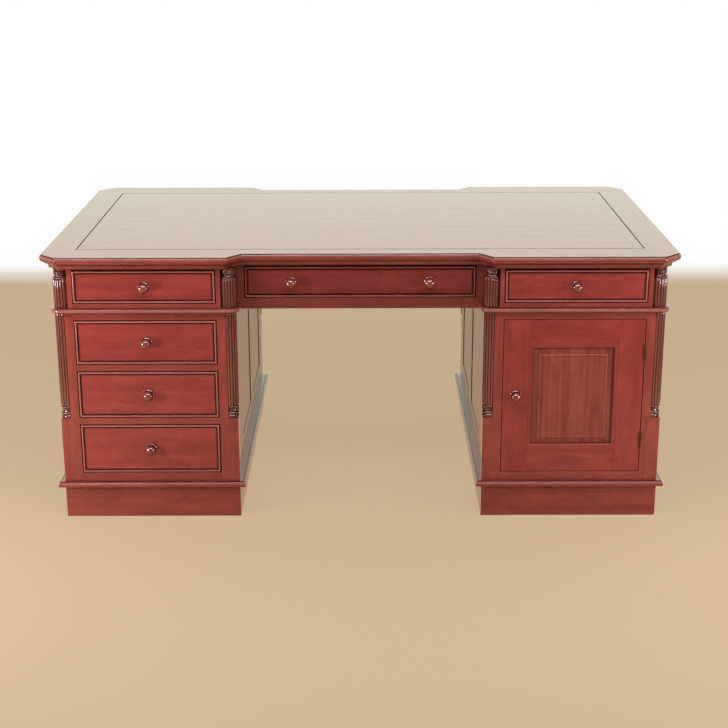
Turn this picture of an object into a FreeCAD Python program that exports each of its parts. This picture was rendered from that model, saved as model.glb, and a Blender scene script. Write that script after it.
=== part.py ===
import FreeCAD
import Part
import Sketcher
import os
import re

from FreeCAD import Placement, Rotation, Vector

# A double-sided pedestal desk of polished mahogany. X runs along the desk, Y from its front face to its
# rear face and Z up, with the origin on the floor under the middle. The rear face is the front face
# turned half round, so each pedestal has drawers on one face and a cupboard on the other.

SIZES = {
    # Top
    "top_width": 1812,
    "top_depth": 1074,
    "end_overhang": 37,
    "face_overhang": 31,
    "breakfront": 48,
    "step_run": 38,
    "step_lap": 18,
    "corner_cant": 50,
    "field_border_end": 93,
    "field_border_front": 109,
    "line_width": 3,
    "line_depth": 2.5,
    # Moulded edge of the top
    "edge_width": 36,
    "torus_height": 20,
    "torus_rise": 5,
    "fascia_inset": 13,
    "fascia_height": 5,
    "cove_radius": 11,
    "under_fillet": 2,
    # Pedestals and frieze
    "kneehole_width": 709,
    "plinth_height": 98,
    "plinth_board": 20,
    "plinth_block": 40,
    "base_height": 16,
    "base_projection": 17,
    "base_round": 9,
    "frame_lap": 14,
    "waist_height": 15,
    "waist_projection": 13,
    "nose_flat": 1,
    "frieze_height": 114,
    "post_width": 54,
    "post_depth": 50,
    "post_block": 192,
    "bottom_rail": 25,
    "drawer_rail": 20,
    "lower_drawer": 150,
    "middle_drawer": 142,
    "upper_drawer": 132,
    "top_rail": 20,
    "frieze_rail": 13,
    "frieze_headroom": 3,
    "apron_height": 32,
    "apron_thickness": 20,
    "centre_stile": 23,
    # Sides of the pedestals
    "side_thickness": 20,
    "side_stile": 98,
    "side_muntin": 76,
    "side_top_rail": 110,
    "side_bottom_rail": 85,
    "side_panel": 8,
    "panel_recess": 3,
    # Boards inside
    "inner_board": 12,
    "shelf_height": 242,
    "shelf_thickness": 14,
    "shelf_setback": 20,
    "cleat": 20,
    "door_stop": 11,
    "stop_play": 0.5,
    # Columns
    "column_inset": 20,
    "column_play": 0.8,
    "groove_play": 1.6,
    "shaft_radius": 20,
    "ring_root": 2.5,
    "ring_rise": 2.5,
    "neck_sink": 3.5,
    "cove_sink": 1.5,
    "reed_count": 16,
    "reed_radius": 3.6,
    "foot_torus": 11,
    "foot_ring": 9,
    "foot_cove": 12,
    "collar_height": 6,
    "cap_cove": 7,
    "cap_ring": 5,
    "cap_neck": 7,
    # Drawers
    "front_thickness": 20,
    "bead_width": 7,
    "bead_rise": 3.2,
    "bead_flat": 1.2,
    "front_gap": 1.8,
    "drawer_side": 12,
    "drawer_back": 10,
    "drawer_bottom": 6,
    "bottom_lift": 8,
    "side_drop": 8,
    "back_plane": 50,
    "runner_height": 12,
    "runner_lap": 20,
    "runner_play": 0.3,
    "guide_height": 18,
    "centre_knob": 198,
    # Door
    "door_thickness": 22,
    "door_stile": 75,
    "door_rail": 75,
    "door_moulding": 9,
    "moulding_round": 5,
    "door_bevel": 20,
    "door_panel": 8,
    "field_rise": 6,
    "panel_sink": 2,
    "door_knob_lift": 236,
    "door_gap": 2.2,
    # Butt hinges
    "hinge_length": 46,
    "hinge_inset": 74,
    "leaf_thickness": 0.8,
    "leaf_width": 18,
    "knuckle_radius": 3,
    "knuckle_length": 15,
    "knuckle_play": 0.3,
    "face_play": 0.2,
    "pin_radius": 1.5,
    "pin_play": 0.06,
    # Turned knobs
    "tenon_radius": 4.8,
    "tenon_backing": 4,
    "tenon_play": 0.2,
    "rose_radius": 11,
    "rose_height": 4,
    "knob_neck_radius": 7,
    "knob_neck_height": 11,
    "knob_neck_sink": 1.2,
    "knob_rim_radius": 14.5,
    "knob_rim_height": 10,
    "knob_rim_rise": 2.5,
    "button_radius": 12.5,
    "button_height": 5,
}

doc = FreeCAD.newDocument("partners_desk")
sheet = doc.addObject("Spreadsheet::Sheet", "Sizes")
for row, (alias, size) in enumerate(SIZES.items(), start=1):
    sheet.set(f"A{row}", alias)
    sheet.set(f"B{row}", str(size))
    sheet.setAlias(f"B{row}", alias)
doc.recompute()

# Planes and levels worked out from the sizes

face_x = "(top_width / 2 - end_overhang)"
face_y = "(top_depth / 2 - face_overhang)"
centre_y = f"({face_y} - breakfront)"
knee_x = "(kneehole_width / 2)"
case_z = "(plinth_height + base_height)"
open_in = f"({knee_x} + post_width)"
open_out = f"({face_x} - post_width)"
post_back = f"({face_y} - post_depth)"
hollow_in = f"({knee_x} + side_thickness)"
hollow_out = f"({face_x} - side_thickness)"
lower_z = f"({case_z} + bottom_rail)"
middle_z = f"({lower_z} + lower_drawer + drawer_rail)"
upper_z = f"({middle_z} + middle_drawer + drawer_rail)"
head_z = f"({upper_z} + upper_drawer)"
waist_z = f"({head_z} + top_rail)"
frieze_z = f"({waist_z} + waist_height)"
top_z = f"({frieze_z} + frieze_height)"
top_thickness = "(torus_height + fascia_height + cove_radius + under_fillet)"
desk_top = f"({top_z} + {top_thickness})"
frieze_low = f"({frieze_z} + frieze_rail)"
frieze_high = f"({top_z} - frieze_headroom)"
centre_low = f"({waist_z} + apron_height)"
centre_edge = f"({knee_x} - centre_stile)"
division = "(inner_board / 2)"

FACES = {"front": -1, "rear": 1}
SIDES = (-1, 1)
nodes = []


# Helpers for sizes and simple boards

def full(text):
    """The text with every size name pointing at its cell."""
    return re.sub(r"[a-z]\w*", lambda word: "Sizes." + word[0] if word[0] in SIZES else word[0], text)


def value(text):
    """The number that a text of sizes stands for."""
    return float(sheet.evalExpression(full(text)))


def bind(item, prop, text):
    """Tie a property to a text of sizes."""
    item.setExpression(prop, full(text))


def signed(sign, low, high):
    """Limits measured outwards from the middle, on the side with that sign."""
    return (low, high) if sign > 0 else (f"-({high})", f"-({low})")


def box(name, x, y, z):
    """A board given by its lowest and highest limits along X, Y and Z."""
    board = doc.addObject("Part::Box", name)
    for size, axis, (low, high) in zip(("Length", "Width", "Height"), "xyz", (x, y, z)):
        bind(board, size, f"({high}) - ({low})")
        bind(board, f"Placement.Base.{axis}", low)
    return board


def face_box(face, name, across, out, z):
    """A board seen from one face: across to the sitter's right, out from the middle towards the sitter."""
    sign = FACES[face]
    return box(name, signed(-sign, *across), signed(sign, *out), z)


def cut(name, base, tool):
    """A piece with another shape taken away."""
    item = doc.addObject("Part::Cut", name)
    item.Base = base
    item.Tool = tool
    return item


def fuse(name, shapes):
    """Shapes made into one solid."""
    item = doc.addObject("Part::MultiFuse", name)
    item.Shapes = shapes
    return item


def rounded(name, board, radius, test):
    """A board with the edges rounded whose midpoints pass the test."""
    board.recompute()
    size = value(radius)
    chosen = [
        index for index, edge in enumerate(board.Shape.Edges, start=1)
        if test(edge.CenterOfMass)
    ]
    item = doc.addObject("Part::Fillet", name)
    item.Base = board
    item.Edges = [(index, size, size) for index in chosen]
    return item


def group(label, pieces):
    """A node of the desk: separate solids under one name."""
    item = doc.addObject("Part::Compound", label)
    item.Label = label
    item.Links = pieces
    nodes.append(item)
    return item


def placed(name, master, x, y, z, turn=Rotation()):
    """A copy of a master piece, turned and moved to a place given in sizes."""
    item = doc.addObject("Part::Compound", name)
    item.Links = [master]
    item.Placement = Placement(Vector(), turn)
    for axis, text in zip("xyz", (x, y, z)):
        bind(item, f"Placement.Base.{axis}", text)
    return item


# Helpers for sketched pieces

def plane(body, role):
    """One of the origin planes of a body."""
    return next(item for item in body.Origin.OriginFeatures if item.Role == role)


def sketch_on(body, name, role, lift="0"):
    """An empty sketch on an origin plane of its body, lifted along the plane's normal."""
    sketch = body.newObject("Sketcher::SketchObject", name)
    sketch.AttachmentSupport = [(plane(body, role), "")]
    sketch.MapMode = "FlatFace"
    bind(sketch, "AttachmentOffset.Base.z", lift)
    return sketch


def fix(sketch, kind, first, text):
    """One dimension of a sketch, tied to a text of sizes."""
    index = sketch.addConstraint(Sketcher.Constraint(kind, *first, value(text)))
    bind(sketch, f"Constraints[{index}]", text)


def closed_line(sketch, corners):
    """A closed outline. Each corner is (x, y, rise): the edge that leaves it is straight where rise is
    None, and otherwise an arc that stands that far to the right of the straight way."""
    spots = [Vector(value(x), value(y), 0) for x, y, _ in corners]
    ends = []
    for index, (x, y, rise) in enumerate(corners):
        start = spots[index]
        finish = spots[(index + 1) % len(spots)]
        if rise is None:
            sketch.addGeometry(Part.LineSegment(start, finish))
            ends.append((1, 2))
            continue
        along = finish - start
        aside = Vector(along.y, -along.x, 0).normalize()
        middle = (start + finish) * 0.5 + aside * value(rise)
        sketch.addGeometry(Part.Arc(start, middle, finish))
        ends.append((1, 2) if value(rise) > 0 else (2, 1))
    for index, (x, y, rise) in enumerate(corners):
        after = (index + 1) % len(corners)
        sketch.addConstraint(
            Sketcher.Constraint("Coincident", index, ends[index][1], after, ends[after][0])
        )
        fix(sketch, "DistanceX", (-1, 1, index, ends[index][0]), x)
        fix(sketch, "DistanceY", (-1, 1, index, ends[index][0]), y)
        if rise is not None:
            next_x, next_y, _ = corners[after]
            chord = f"((({next_x}) - ({x})) ^ 2 + (({next_y}) - ({y})) ^ 2)"
            fix(sketch, "Radius", (index,), f"({chord} / 4 + ({rise}) ^ 2) / (2 * abs({rise}))")


def pad(body, sketch, length):
    """The sketch pushed up by a length."""
    feature = body.newObject("PartDesign::Pad", f"{sketch.Name}_pad")
    feature.Profile = sketch
    bind(feature, "Length", length)
    sketch.recompute()
    feature.recompute()
    return feature


def sketched_board(name, corners, z, height, round_radius=None, test=None):
    """A board of any outline, with chosen edges rounded."""
    body = doc.addObject("PartDesign::Body", name)
    sketch = sketch_on(body, f"{name}_outline", "XY_Plane", z)
    closed_line(sketch, corners)
    board = pad(body, sketch, height)
    if round_radius is not None:
        chosen = [
            f"Edge{index}" for index, edge in enumerate(board.Shape.Edges, start=1)
            if test(edge.CenterOfMass)
        ]
        fillet = body.newObject("PartDesign::Fillet", f"{name}_round")
        fillet.Base = (board, chosen)
        bind(fillet, "Radius", round_radius)
    return body


def turned_profile(sketch, low, stack):
    """Half the outline of a turned piece. The stack lists (height, radius below, radius above, rise) from
    the bottom up, where rise is the swell of a ring, or a negative sink for a cove, or None."""
    corners = [("0", low, None)]
    level = low
    for height, below, above, rise in stack:
        if corners[-1][:2] == (below, level):
            corners.pop()
        corners.append((below, level, rise))
        level = f"({level} + {height})"
        corners.append((above, level, None))
    if corners[-1][0] != "0":
        corners.append(("0", level, None))
    closed_line(sketch, corners)


def turned(body, name, low, stack):
    """A solid of revolution about the body's Z axis."""
    sketch = sketch_on(body, name, "XZ_Plane")
    turned_profile(sketch, low, stack)
    feature = body.newObject("PartDesign::Revolution", f"{name}_turn")
    feature.Profile = sketch
    feature.ReferenceAxis = (sketch, ["V_Axis"])
    feature.Angle = 360
    sketch.recompute()
    feature.recompute()
    return feature


# Top: a field panel in a mitred border, with a moulded edge strip carried round it

field_x = "(top_width / 2 - field_border_end)"
field_y = "(top_depth / 2 - field_border_front)"
step_shift = "breakfront / (sqrt(step_run ^ 2 + breakfront ^ 2) + step_run)"
cant_shift = "(sqrt(2) - 1)"


def top_quarter(inset):
    """Corners of the top's outline at positive x and y, from the middle outwards, moved in by an inset."""
    half_x = f"(top_width / 2 - ({inset}))"
    half_y = f"(top_depth / 2 - ({inset}))"
    step_x = f"({knee_x} + step_lap + ({inset}) * {step_shift})"
    return [
        (f"({step_x} - step_run)", f"({half_y} - breakfront)"),
        (step_x, half_y),
        (f"(top_width / 2 - corner_cant - ({inset}) * {cant_shift})", half_y),
        (half_x, f"(top_depth / 2 - corner_cant - ({inset}) * {cant_shift})"),
    ]


def at_quarter(sign_x, sign_y, corner):
    """A corner of the positive quarter carried to another quarter."""
    x, y = corner
    return (x if sign_x > 0 else f"-{x}", y if sign_y > 0 else f"-{y}")


def straight(corners):
    """Corners joined by straight edges only."""
    return [(x, y, None) for x, y in corners]


def edge_bar():
    """A long bar of the edge moulding: a large torus, a fascia and a cove. Its outer upper corner is at
    the origin, it runs along X and its back is towards +Y."""
    section = doc.addObject("Sketcher::SketchObject", "edge_section")
    section.Placement = Placement(Vector(), Rotation(Vector(1, 1, 1), 120))
    cove_top = "-(torus_height + fascia_height)"
    cove_low = f"({cove_top} - cove_radius)"
    closed_line(section, [
        ("edge_width", "0", None),
        ("torus_rise", "0", "torus_rise"),
        ("torus_rise", "-torus_height", None),
        ("fascia_inset", "-torus_height", None),
        ("fascia_inset", cove_top, "-cove_radius * (1 - sqrt(2) / 2)"),
        ("fascia_inset + cove_radius", cove_low, None),
        ("fascia_inset + cove_radius", f"-{top_thickness}", None),
        ("edge_width", f"-{top_thickness}", None),
    ])
    bar = doc.addObject("Part::Extrusion", "edge_bar")
    bar.Base = section
    bar.DirMode = "Custom"
    bar.Dir = Vector(1, 0, 0)
    bar.Solid = True
    bind(bar, "LengthFwd", "top_width")
    bind(bar, "LengthRev", "edge_width")
    return bar


def mirrored(name, source, normal):
    """A copy on the other side of the middle."""
    item = doc.addObject("Part::Mirroring", name)
    item.Source = source
    item.Normal = normal
    return item


def edge_strips():
    """Moulded strips round the top, mitred where they meet."""
    bar = edge_bar()
    outer = [at_quarter(1, -1, corner) for corner in top_quarter("0")]
    inner = [at_quarter(1, -1, corner) for corner in top_quarter("edge_width")]

    def strip(start, end, turn):
        """The part of the bar between the mitres at two corners, given with their inner corners."""
        run = placed("edge_run", bar, *start[0], desk_top, turn)
        corners = straight([start[0], end[0], end[1], start[1]])
        item = doc.addObject("Part::Common", "edge_strip")
        item.Base = run
        item.Tool = sketched_board("edge_plan", corners, top_z, top_thickness)
        return item, run

    def flip(pair, sign_x, sign_y):
        """A corner and its inner corner carried across the middle."""
        return [(x if sign_x > 0 else f"-({x})", y if sign_y > 0 else f"-({y})") for x, y in pair]

    step_in, step_out, cant_in, cant_out = list(zip(outer, inner))
    level = Rotation()
    down = Rotation(Vector(0, 0, -1), 45)
    along = Vector(1, 0, 0)
    over = Vector(0, 1, 0)
    centre, _ = strip(flip(step_in, -1, 1), step_in, level)
    step, step_bar = strip(step_in, step_out, down)
    bind(step_bar, "Placement.Rotation.Angle", "atan(breakfront / step_run)")
    face, _ = strip(step_out, cant_in, level)
    cant, _ = strip(cant_in, cant_out, Rotation(Vector(0, 0, 1), 45))
    end, _ = strip(cant_out, flip(cant_out, 1, -1), Rotation(Vector(0, 0, 1), 90))
    strips = [centre, mirrored("edge_strip", centre, over), end, mirrored("edge_strip", end, along)]
    for piece in (step, face, cant):
        left = mirrored("edge_strip", piece, along)
        strips += [piece, left, mirrored("edge_strip", piece, over), mirrored("edge_strip", left, over)]
    return strips


def border_boards():
    """Four boards mitred at the corners, between the field panel and the moulded edge."""
    quarter = top_quarter("edge_width")
    cant_start = quarter[2]
    cant_end = quarter[3]
    mitre = tuple(f"(({a} + {b}) / 2)" for a, b in zip(cant_start, cant_end))
    boards = []
    for sign in SIDES:
        half = [(field_x, field_y), mitre] + quarter[2::-1]
        right = [at_quarter(1, sign, corner) for corner in half]
        left = [at_quarter(-1, sign, corner) for corner in reversed(half)]
        boards.append(sketched_board("border_long", straight(right + left), top_z, top_thickness))
    for sign in SIDES:
        half = [(field_x, field_y), mitre, cant_end]
        back = [at_quarter(sign, 1, corner) for corner in half]
        near = [at_quarter(sign, -1, corner) for corner in reversed(half)]
        boards.append(sketched_board("border_end", straight(back + near), top_z, top_thickness))
    return boards


def field_panel():
    """The panel of the writing surface, rebated round its upper edge to leave the dark line."""
    step_x = f"({field_x} - line_width)"
    step_y = f"({field_y} - line_width)"
    seat = f"({desk_top} - line_depth)"
    core = box("field_core", signed_pair(field_x), signed_pair(field_y), (top_z, seat))
    face = box("field_face", signed_pair(step_x), signed_pair(step_y), (seat, desk_top))
    return fuse("field", [core, face])


def signed_pair(text):
    """Limits the same distance either side of the middle."""
    return (f"-({text})", text)


group("top_panel", [field_panel()])
group("top_border", border_boards())
group("top_edge_moulding", edge_strips())


# Posts, cut back at the corner for the columns: round grooves in the pedestals, square notches in the frieze

ring_radius = "(shaft_radius - ring_root)"
neck_radius = "(shaft_radius - neck_sink)"
column_notch = f"(column_inset + {ring_radius} + ring_rise + column_play)"
groove_radius = f"({ring_radius} + ring_rise + groove_play)"


def corner_span(corner, width):
    """Distance from the middle of a pedestal's outer or inner side, taken in by a width."""
    if corner == "outer":
        return (f"({face_x} - {width})", face_x)
    return (knee_x, f"({knee_x} + {width})")


def corner_notch(face, side, corner, z):
    """The square notch at a post's corner."""
    across = signed(side, *corner_span(corner, column_notch))
    return face_box(face, "column_notch", across, (f"({face_y} - {column_notch})", face_y), z)


def corner_groove(face, side, corner, z):
    """The round groove about a column's axis, open to the post's corner."""
    low, high = z
    sign = FACES[face]
    across = signed(side, *corner_span(corner, "column_inset"))
    mouth = face_box(face, "groove_mouth", across, (f"({face_y} - column_inset)", face_y), z)
    axis_x = f"({face_x} - column_inset)" if corner == "outer" else f"({knee_x} + column_inset)"
    hollow = doc.addObject("Part::Cylinder", "groove_hollow")
    bind(hollow, "Radius", groove_radius)
    bind(hollow, "Height", f"({high}) - ({low})")
    for axis, text in zip("xyz", (f"{-sign * side} * {axis_x}", f"{sign} * ({face_y} - column_inset)", low)):
        bind(hollow, f"Placement.Base.{axis}", text)
    return fuse("column_groove", [mouth, hollow])


def posts(name, low, seat, high, hollow):
    """Posts at every pedestal corner, hollowed at the corner from the column's seat upwards."""
    made = []
    for face in FACES:
        for side in SIDES:
            for corner in ("outer", "inner"):
                across = signed(side, *corner_span(corner, "post_width"))
                block = face_box(face, f"{name}_block", across, (post_back, face_y), (low, high))
                made.append(cut(name, block, hollow(face, side, corner, (seat, high))))
    return made


def centre_stiles():
    """Narrow uprights beside the centre drawers, set back in the breakfront."""
    made = []
    for face in FACES:
        for side in SIDES:
            across = signed(side, centre_edge, knee_x)
            out = (f"({centre_y} - apron_thickness)", centre_y)
            made.append(face_box(face, "centre_stile", across, out, (centre_low, top_z)))
    return made


column_z = f"({case_z} + post_block)"
group("pedestal_posts", posts("pedestal_post", case_z, column_z, waist_z, corner_groove))
frieze_blocks = posts("frieze_post", frieze_z, frieze_z, top_z, corner_notch)
group("frieze_posts", frieze_blocks + centre_stiles())


# Columns: a reeded shaft with turned rings, standing free at the posts' corners

ring_stack = (ring_radius, ring_radius, "ring_rise")
foot = [
    ("foot_torus", *ring_stack),
    ("foot_ring", *ring_stack),
    ("foot_cove", neck_radius, neck_radius, "-cove_sink"),
    ("collar_height", *ring_stack),
]
capital = [
    ("collar_height", *ring_stack),
    ("cap_cove", neck_radius, neck_radius, "-cove_sink"),
    ("cap_ring", neck_radius, neck_radius, "ring_rise / 2"),
    ("cap_ring", neck_radius, neck_radius, "ring_rise / 2"),
    ("cap_neck", neck_radius, ring_radius, None),
]


def stack_height(stack):
    """The height of all the rings of a stack."""
    return "(" + " + ".join(height for height, *_ in stack) + ")"


def reeded_column(name, shaft_low, shaft_high, rings_low, rings):
    """A column whose shaft carries convex reeds all round between its rings."""
    body = doc.addObject("PartDesign::Body", name)
    core = sketch_on(body, f"{name}_core", "XY_Plane", shaft_low)
    pitch = "shaft_radius - reed_radius"
    core.addGeometry(Part.Circle(Vector(), Vector(0, 0, 1), value(pitch)))
    core.addConstraint(Sketcher.Constraint("Coincident", 0, 3, -1, 1))
    fix(core, "Radius", (0,), pitch)
    length = f"({shaft_high}) - ({shaft_low})"
    pad(body, core, length)
    reed = sketch_on(body, f"{name}_reed", "XY_Plane", shaft_low)
    reed.addGeometry(Part.Circle(Vector(value(pitch), 0, 0), Vector(0, 0, 1), value("reed_radius")))
    fix(reed, "Radius", (0,), "reed_radius")
    fix(reed, "DistanceX", (-1, 1, 0, 3), pitch)
    reed.addConstraint(Sketcher.Constraint("PointOnObject", 0, 3, -1))
    one = pad(body, reed, length)
    pattern = body.newObject("PartDesign::PolarPattern", f"{name}_reeds")
    pattern.Originals = [one]
    pattern.Axis = (core, ["N_Axis"])
    pattern.Angle = 360
    bind(pattern, "Occurrences", "reed_count")
    body.Tip = pattern
    doc.recompute()
    body.Tip = turned(body, f"{name}_rings", rings_low, rings)
    return body


def columns(label, master, z):
    """Copies of a column at every pedestal corner."""
    inset_out = f"({face_x} - column_inset)"
    inset_in = f"({knee_x} + column_inset)"
    inset_y = f"({face_y} - column_inset)"
    copies = []
    for sign in FACES.values():
        for side in SIDES:
            for inset in (inset_out, inset_in):
                copies.append(placed("column", master, f"{side} * {inset}", f"{sign} * {inset_y}", z))
    return group(label, copies)


foot_height = stack_height(foot)
cap_height = stack_height(capital)
pedestal_run = f"({waist_z} - {column_z})"
frieze_run = f"({top_z} - {frieze_z})"
cap_low = f"({frieze_run} - {cap_height})"
tall_column = reeded_column("pedestal_column", foot_height, pedestal_run, "0", foot)
short_column = reeded_column("frieze_column", "0", cap_low, cap_low, capital)
columns("pedestal_columns", tall_column, column_z)
columns("frieze_columns", short_column, frieze_z)


# Rails across the faces

def rails():
    """Pedestal rails: drawer rails on one pedestal of a face, and the two door rails on the other."""
    made = []
    drawer_levels = (
        (case_z, lower_z),
        (f"({middle_z} - drawer_rail)", middle_z),
        (f"({upper_z} - drawer_rail)", upper_z),
        (head_z, waist_z),
    )
    door_levels = (drawer_levels[0], drawer_levels[-1])
    for face in FACES:
        for side, levels in ((-1, drawer_levels), (1, door_levels)):
            for level in levels:
                across = signed(side, open_in, open_out)
                made.append(face_box(face, "rail", across, (post_back, face_y), level))
    return made


def frieze_rails():
    """Rails under the side drawers, and the aprons under the centre drawers."""
    made = []
    for face in FACES:
        for side in SIDES:
            across = signed(side, open_in, open_out)
            made.append(face_box(face, "frieze_rail", across, (post_back, face_y), (frieze_z, frieze_low)))
        out = (f"({centre_y} - apron_thickness)", centre_y)
        made.append(face_box(face, "apron", signed_pair(knee_x), out, (waist_z, centre_low)))
    return made


group("pedestal_rails", rails())
group("frieze_rails", frieze_rails())


# Panelled sides of the pedestals

panel_in = "(side_muntin / 2)"
panel_out = f"({post_back} - side_stile)"
panel_low = f"({case_z} + side_bottom_rail)"
panel_high = f"({waist_z} - side_top_rail)"


def side_frames():
    """Stiles, rails and a middle muntin on both sides of each pedestal."""
    made = []
    for side in SIDES:
        for corner in ("outer", "inner"):
            x = signed(side, *corner_span(corner, "side_thickness"))
            for sign in SIDES:
                made.append(box("side_stile", x, signed(sign, panel_out, post_back), (case_z, waist_z)))
            made.append(box("side_rail", x, signed_pair(panel_out), (case_z, panel_low)))
            made.append(box("side_rail", x, signed_pair(panel_out), (panel_high, waist_z)))
            made.append(box("side_muntin", x, signed_pair(panel_in), (panel_low, panel_high)))
    return made


def side_panels():
    """Thin panels held in the frames, set back from the face."""
    spans = {
        "outer": (f"({face_x} - panel_recess - side_panel)", f"({face_x} - panel_recess)"),
        "inner": (f"({knee_x} + panel_recess)", f"({knee_x} + panel_recess + side_panel)"),
    }
    made = []
    for side in SIDES:
        for span in spans.values():
            for sign in SIDES:
                y = signed(sign, panel_in, panel_out)
                made.append(box("side_panel", signed(side, *span), y, (panel_low, panel_high)))
    return made


group("pedestal_side_frames", side_frames())
group("pedestal_side_panels", side_panels())


# Boards inside the case

shelf_z = f"({lower_z} + shelf_height)"


def pedestal_boards():
    """Bottoms, tops, divisions, cupboard shelves on cleats, and the strips that the doors close on."""
    made = []
    depth = signed_pair(post_back)
    for side in SIDES:
        x = signed(side, hollow_in, hollow_out)
        made.append(box("bottom_board", x, depth, (f"({lower_z} - inner_board)", lower_z)))
        made.append(box("top_board", x, depth, (f"({waist_z} - inner_board)", waist_z)))
        made.append(box("division", x, signed_pair(division), (lower_z, f"({waist_z} - inner_board)")))
    for face in FACES:
        shelf_out = (division, f"({post_back} - shelf_setback)")
        shelf_span = (shelf_z, f"({shelf_z} + shelf_thickness)")
        cleat_span = (f"({shelf_z} - cleat)", shelf_z)
        made.append(face_box(face, "shelf", (hollow_in, hollow_out), shelf_out, shelf_span))
        for across in ((hollow_in, f"({hollow_in} + cleat)"), (f"({hollow_out} - cleat)", hollow_out)):
            made.append(face_box(face, "cleat", across, shelf_out, cleat_span))
        door_back = f"({face_y} - door_thickness - stop_play)"
        stop_out = (f"({door_back} - door_stop)", door_back)
        stop_span = (f"({head_z} - door_stop)", head_z)
        made.append(face_box(face, "door_stop", (open_in, open_out), stop_out, stop_span))
    return made


def frieze_boards():
    """Ends, partitions beside the centre bay, and divisions between front and rear drawers."""
    made = []
    height = (frieze_z, top_z)
    for side in SIDES:
        for corner in ("outer", "inner"):
            x = signed(side, *corner_span(corner, "side_thickness"))
            made.append(box("frieze_end", x, signed_pair(post_back), height))
        made.append(box("frieze_division", signed(side, hollow_in, hollow_out), signed_pair(division), height))
    centre = (f"({centre_low} - runner_height)", top_z)
    made.append(box("centre_division", signed_pair(knee_x), signed_pair(division), centre))
    return made


group("pedestal_boards", pedestal_boards())
group("frieze_boards", frieze_boards())


# Runners that carry the drawers, and guides beside them

def bay_runners(face, side, level, out, runner_low):
    """A guide at each side of one drawer between posts, and a runner where one is needed."""
    made = []
    walls = (
        (hollow_in, open_in, f"({open_in} + runner_lap)"),
        (hollow_out, open_out, f"({open_out} - runner_lap)"),
    )
    for wall, edge, lap in walls:
        guide = (wall, edge) if wall == hollow_in else (edge, wall)
        carrier = (wall, lap) if wall == hollow_in else (lap, wall)
        made.append(face_box(face, "guide", signed(side, *guide), out, (level, f"({level} + guide_height)")))
        if runner_low is not None:
            made.append(face_box(face, "runner", signed(side, *carrier), out, (runner_low, level)))
    return made


def drawer_runners():
    """Runners and guides for every drawer. The lowest drawers run on the bottom boards, and the runners
    of the frieze lie on the waist frame."""
    made = []
    for face in FACES:
        out = (division, post_back)
        made += bay_runners(face, -1, lower_z, out, None)
        for level in (middle_z, upper_z):
            made += bay_runners(face, -1, level, out, f"({level} - runner_height)")
        for side in SIDES:
            made += bay_runners(face, side, frieze_low, out, frieze_z)
            centre_out = (division, f"({centre_y} - apron_thickness)")
            carrier = signed(side, f"({centre_edge} - runner_lap)", knee_x)
            guide = signed(side, centre_edge, knee_x)
            low = (f"({centre_low} - runner_height)", centre_low)
            high = (centre_low, f"({centre_low} + guide_height)")
            made.append(face_box(face, "runner", carrier, centre_out, low))
            made.append(face_box(face, "guide", guide, centre_out, high))
    return made


group("drawer_runners", drawer_runners())


# Waist frame: boards with a half-round nose that turns concentrically round the columns

waist_x = f"({face_x} + waist_projection)"
waist_in = f"({knee_x} - waist_projection)"
waist_y = f"({face_y} + waist_projection)"
nose_radius = "(column_inset + waist_projection)"
waist_round = "((waist_height - nose_flat) / 2)"
frame_width = "(breakfront + frame_lap)"
nose_rise = f"({nose_radius} * (1 - sqrt(2) / 2))"
frame_back = f"({face_y} - {frame_width})"


def waist_long(sign_x, sign_y):
    """The board along one face of one pedestal, from the outer end round to the apron."""
    corners = [
        (waist_x, frame_back, None),
        (waist_x, f"({waist_y} - {nose_radius})", nose_rise),
        (f"({waist_x} - {nose_radius})", waist_y, None),
        (f"({waist_in} + {nose_radius})", waist_y, nose_rise),
        (waist_in, f"({waist_y} - {nose_radius})", None),
        (waist_in, centre_y, None),
        (knee_x, centre_y, None),
        (knee_x, frame_back, None),
    ]
    moved = []
    for x, y, rise in corners:
        turned_rise = None if rise is None else f"{sign_x * sign_y} * {rise}"
        moved.append((f"{sign_x} * {x}", f"{sign_y} * {y}", turned_rise))
    limit = value(centre_y)
    middle = value(f"({waist_z} + {frieze_z}) / 2")
    return sketched_board(
        "waist_long", moved, waist_z, "waist_height", waist_round,
        lambda spot: abs(spot.y) > limit + 1 and abs(spot.z - middle) > 1,
    )


def waist_frames():
    """Boards on the faces, and between them a nosed board at the end and a plain one at the kneehole."""
    made = []
    level = (waist_z, frieze_z)
    span = signed_pair(frame_back)
    for side in SIDES:
        for sign in SIDES:
            made.append(waist_long(side, sign))
        end = box("waist_end", signed(side, f"({face_x} - {frame_width})", waist_x), span, level)
        edge = value(waist_x)
        made.append(rounded(
            "waist_end_nose", end, waist_round,
            lambda spot: abs(abs(spot.x) - edge) < 1e-6 and abs(spot.y) < 1e-6,
        ))
        made.append(box("waist_inner", signed(side, knee_x, f"({knee_x} + {frame_width})"), span, level))
    return made


group("waist_mouldings", waist_frames())


# Plinths and the mitred base mouldings on them

base_x = f"({face_x} + base_projection)"
base_in = f"({knee_x} - base_projection)"
base_y = f"({face_y} + base_projection)"
base_width = f"({frame_width} + base_projection)"


def plinths():
    """Four plinth boards under each pedestal, with glue blocks in the corners."""
    made = []
    level = ("0", "plinth_height")
    inner_y = f"({face_y} - plinth_board)"
    for side in SIDES:
        for sign in SIDES:
            y = signed(sign, inner_y, face_y)
            made.append(box("plinth_face", signed(side, knee_x, face_x), y, level))
            block_y = signed(sign, f"({inner_y} - plinth_block)", inner_y)
            for corner in ("outer", "inner"):
                low, high = corner_span(corner, "(plinth_board + plinth_block)")
                if corner == "outer":
                    high = f"({face_x} - plinth_board)"
                else:
                    low = f"({knee_x} + plinth_board)"
                made.append(box("plinth_block", signed(side, low, high), block_y, level))
        for corner in ("outer", "inner"):
            x = signed(side, *corner_span(corner, "plinth_board"))
            made.append(box("plinth_end", x, signed_pair(inner_y), level))
    return made


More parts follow.
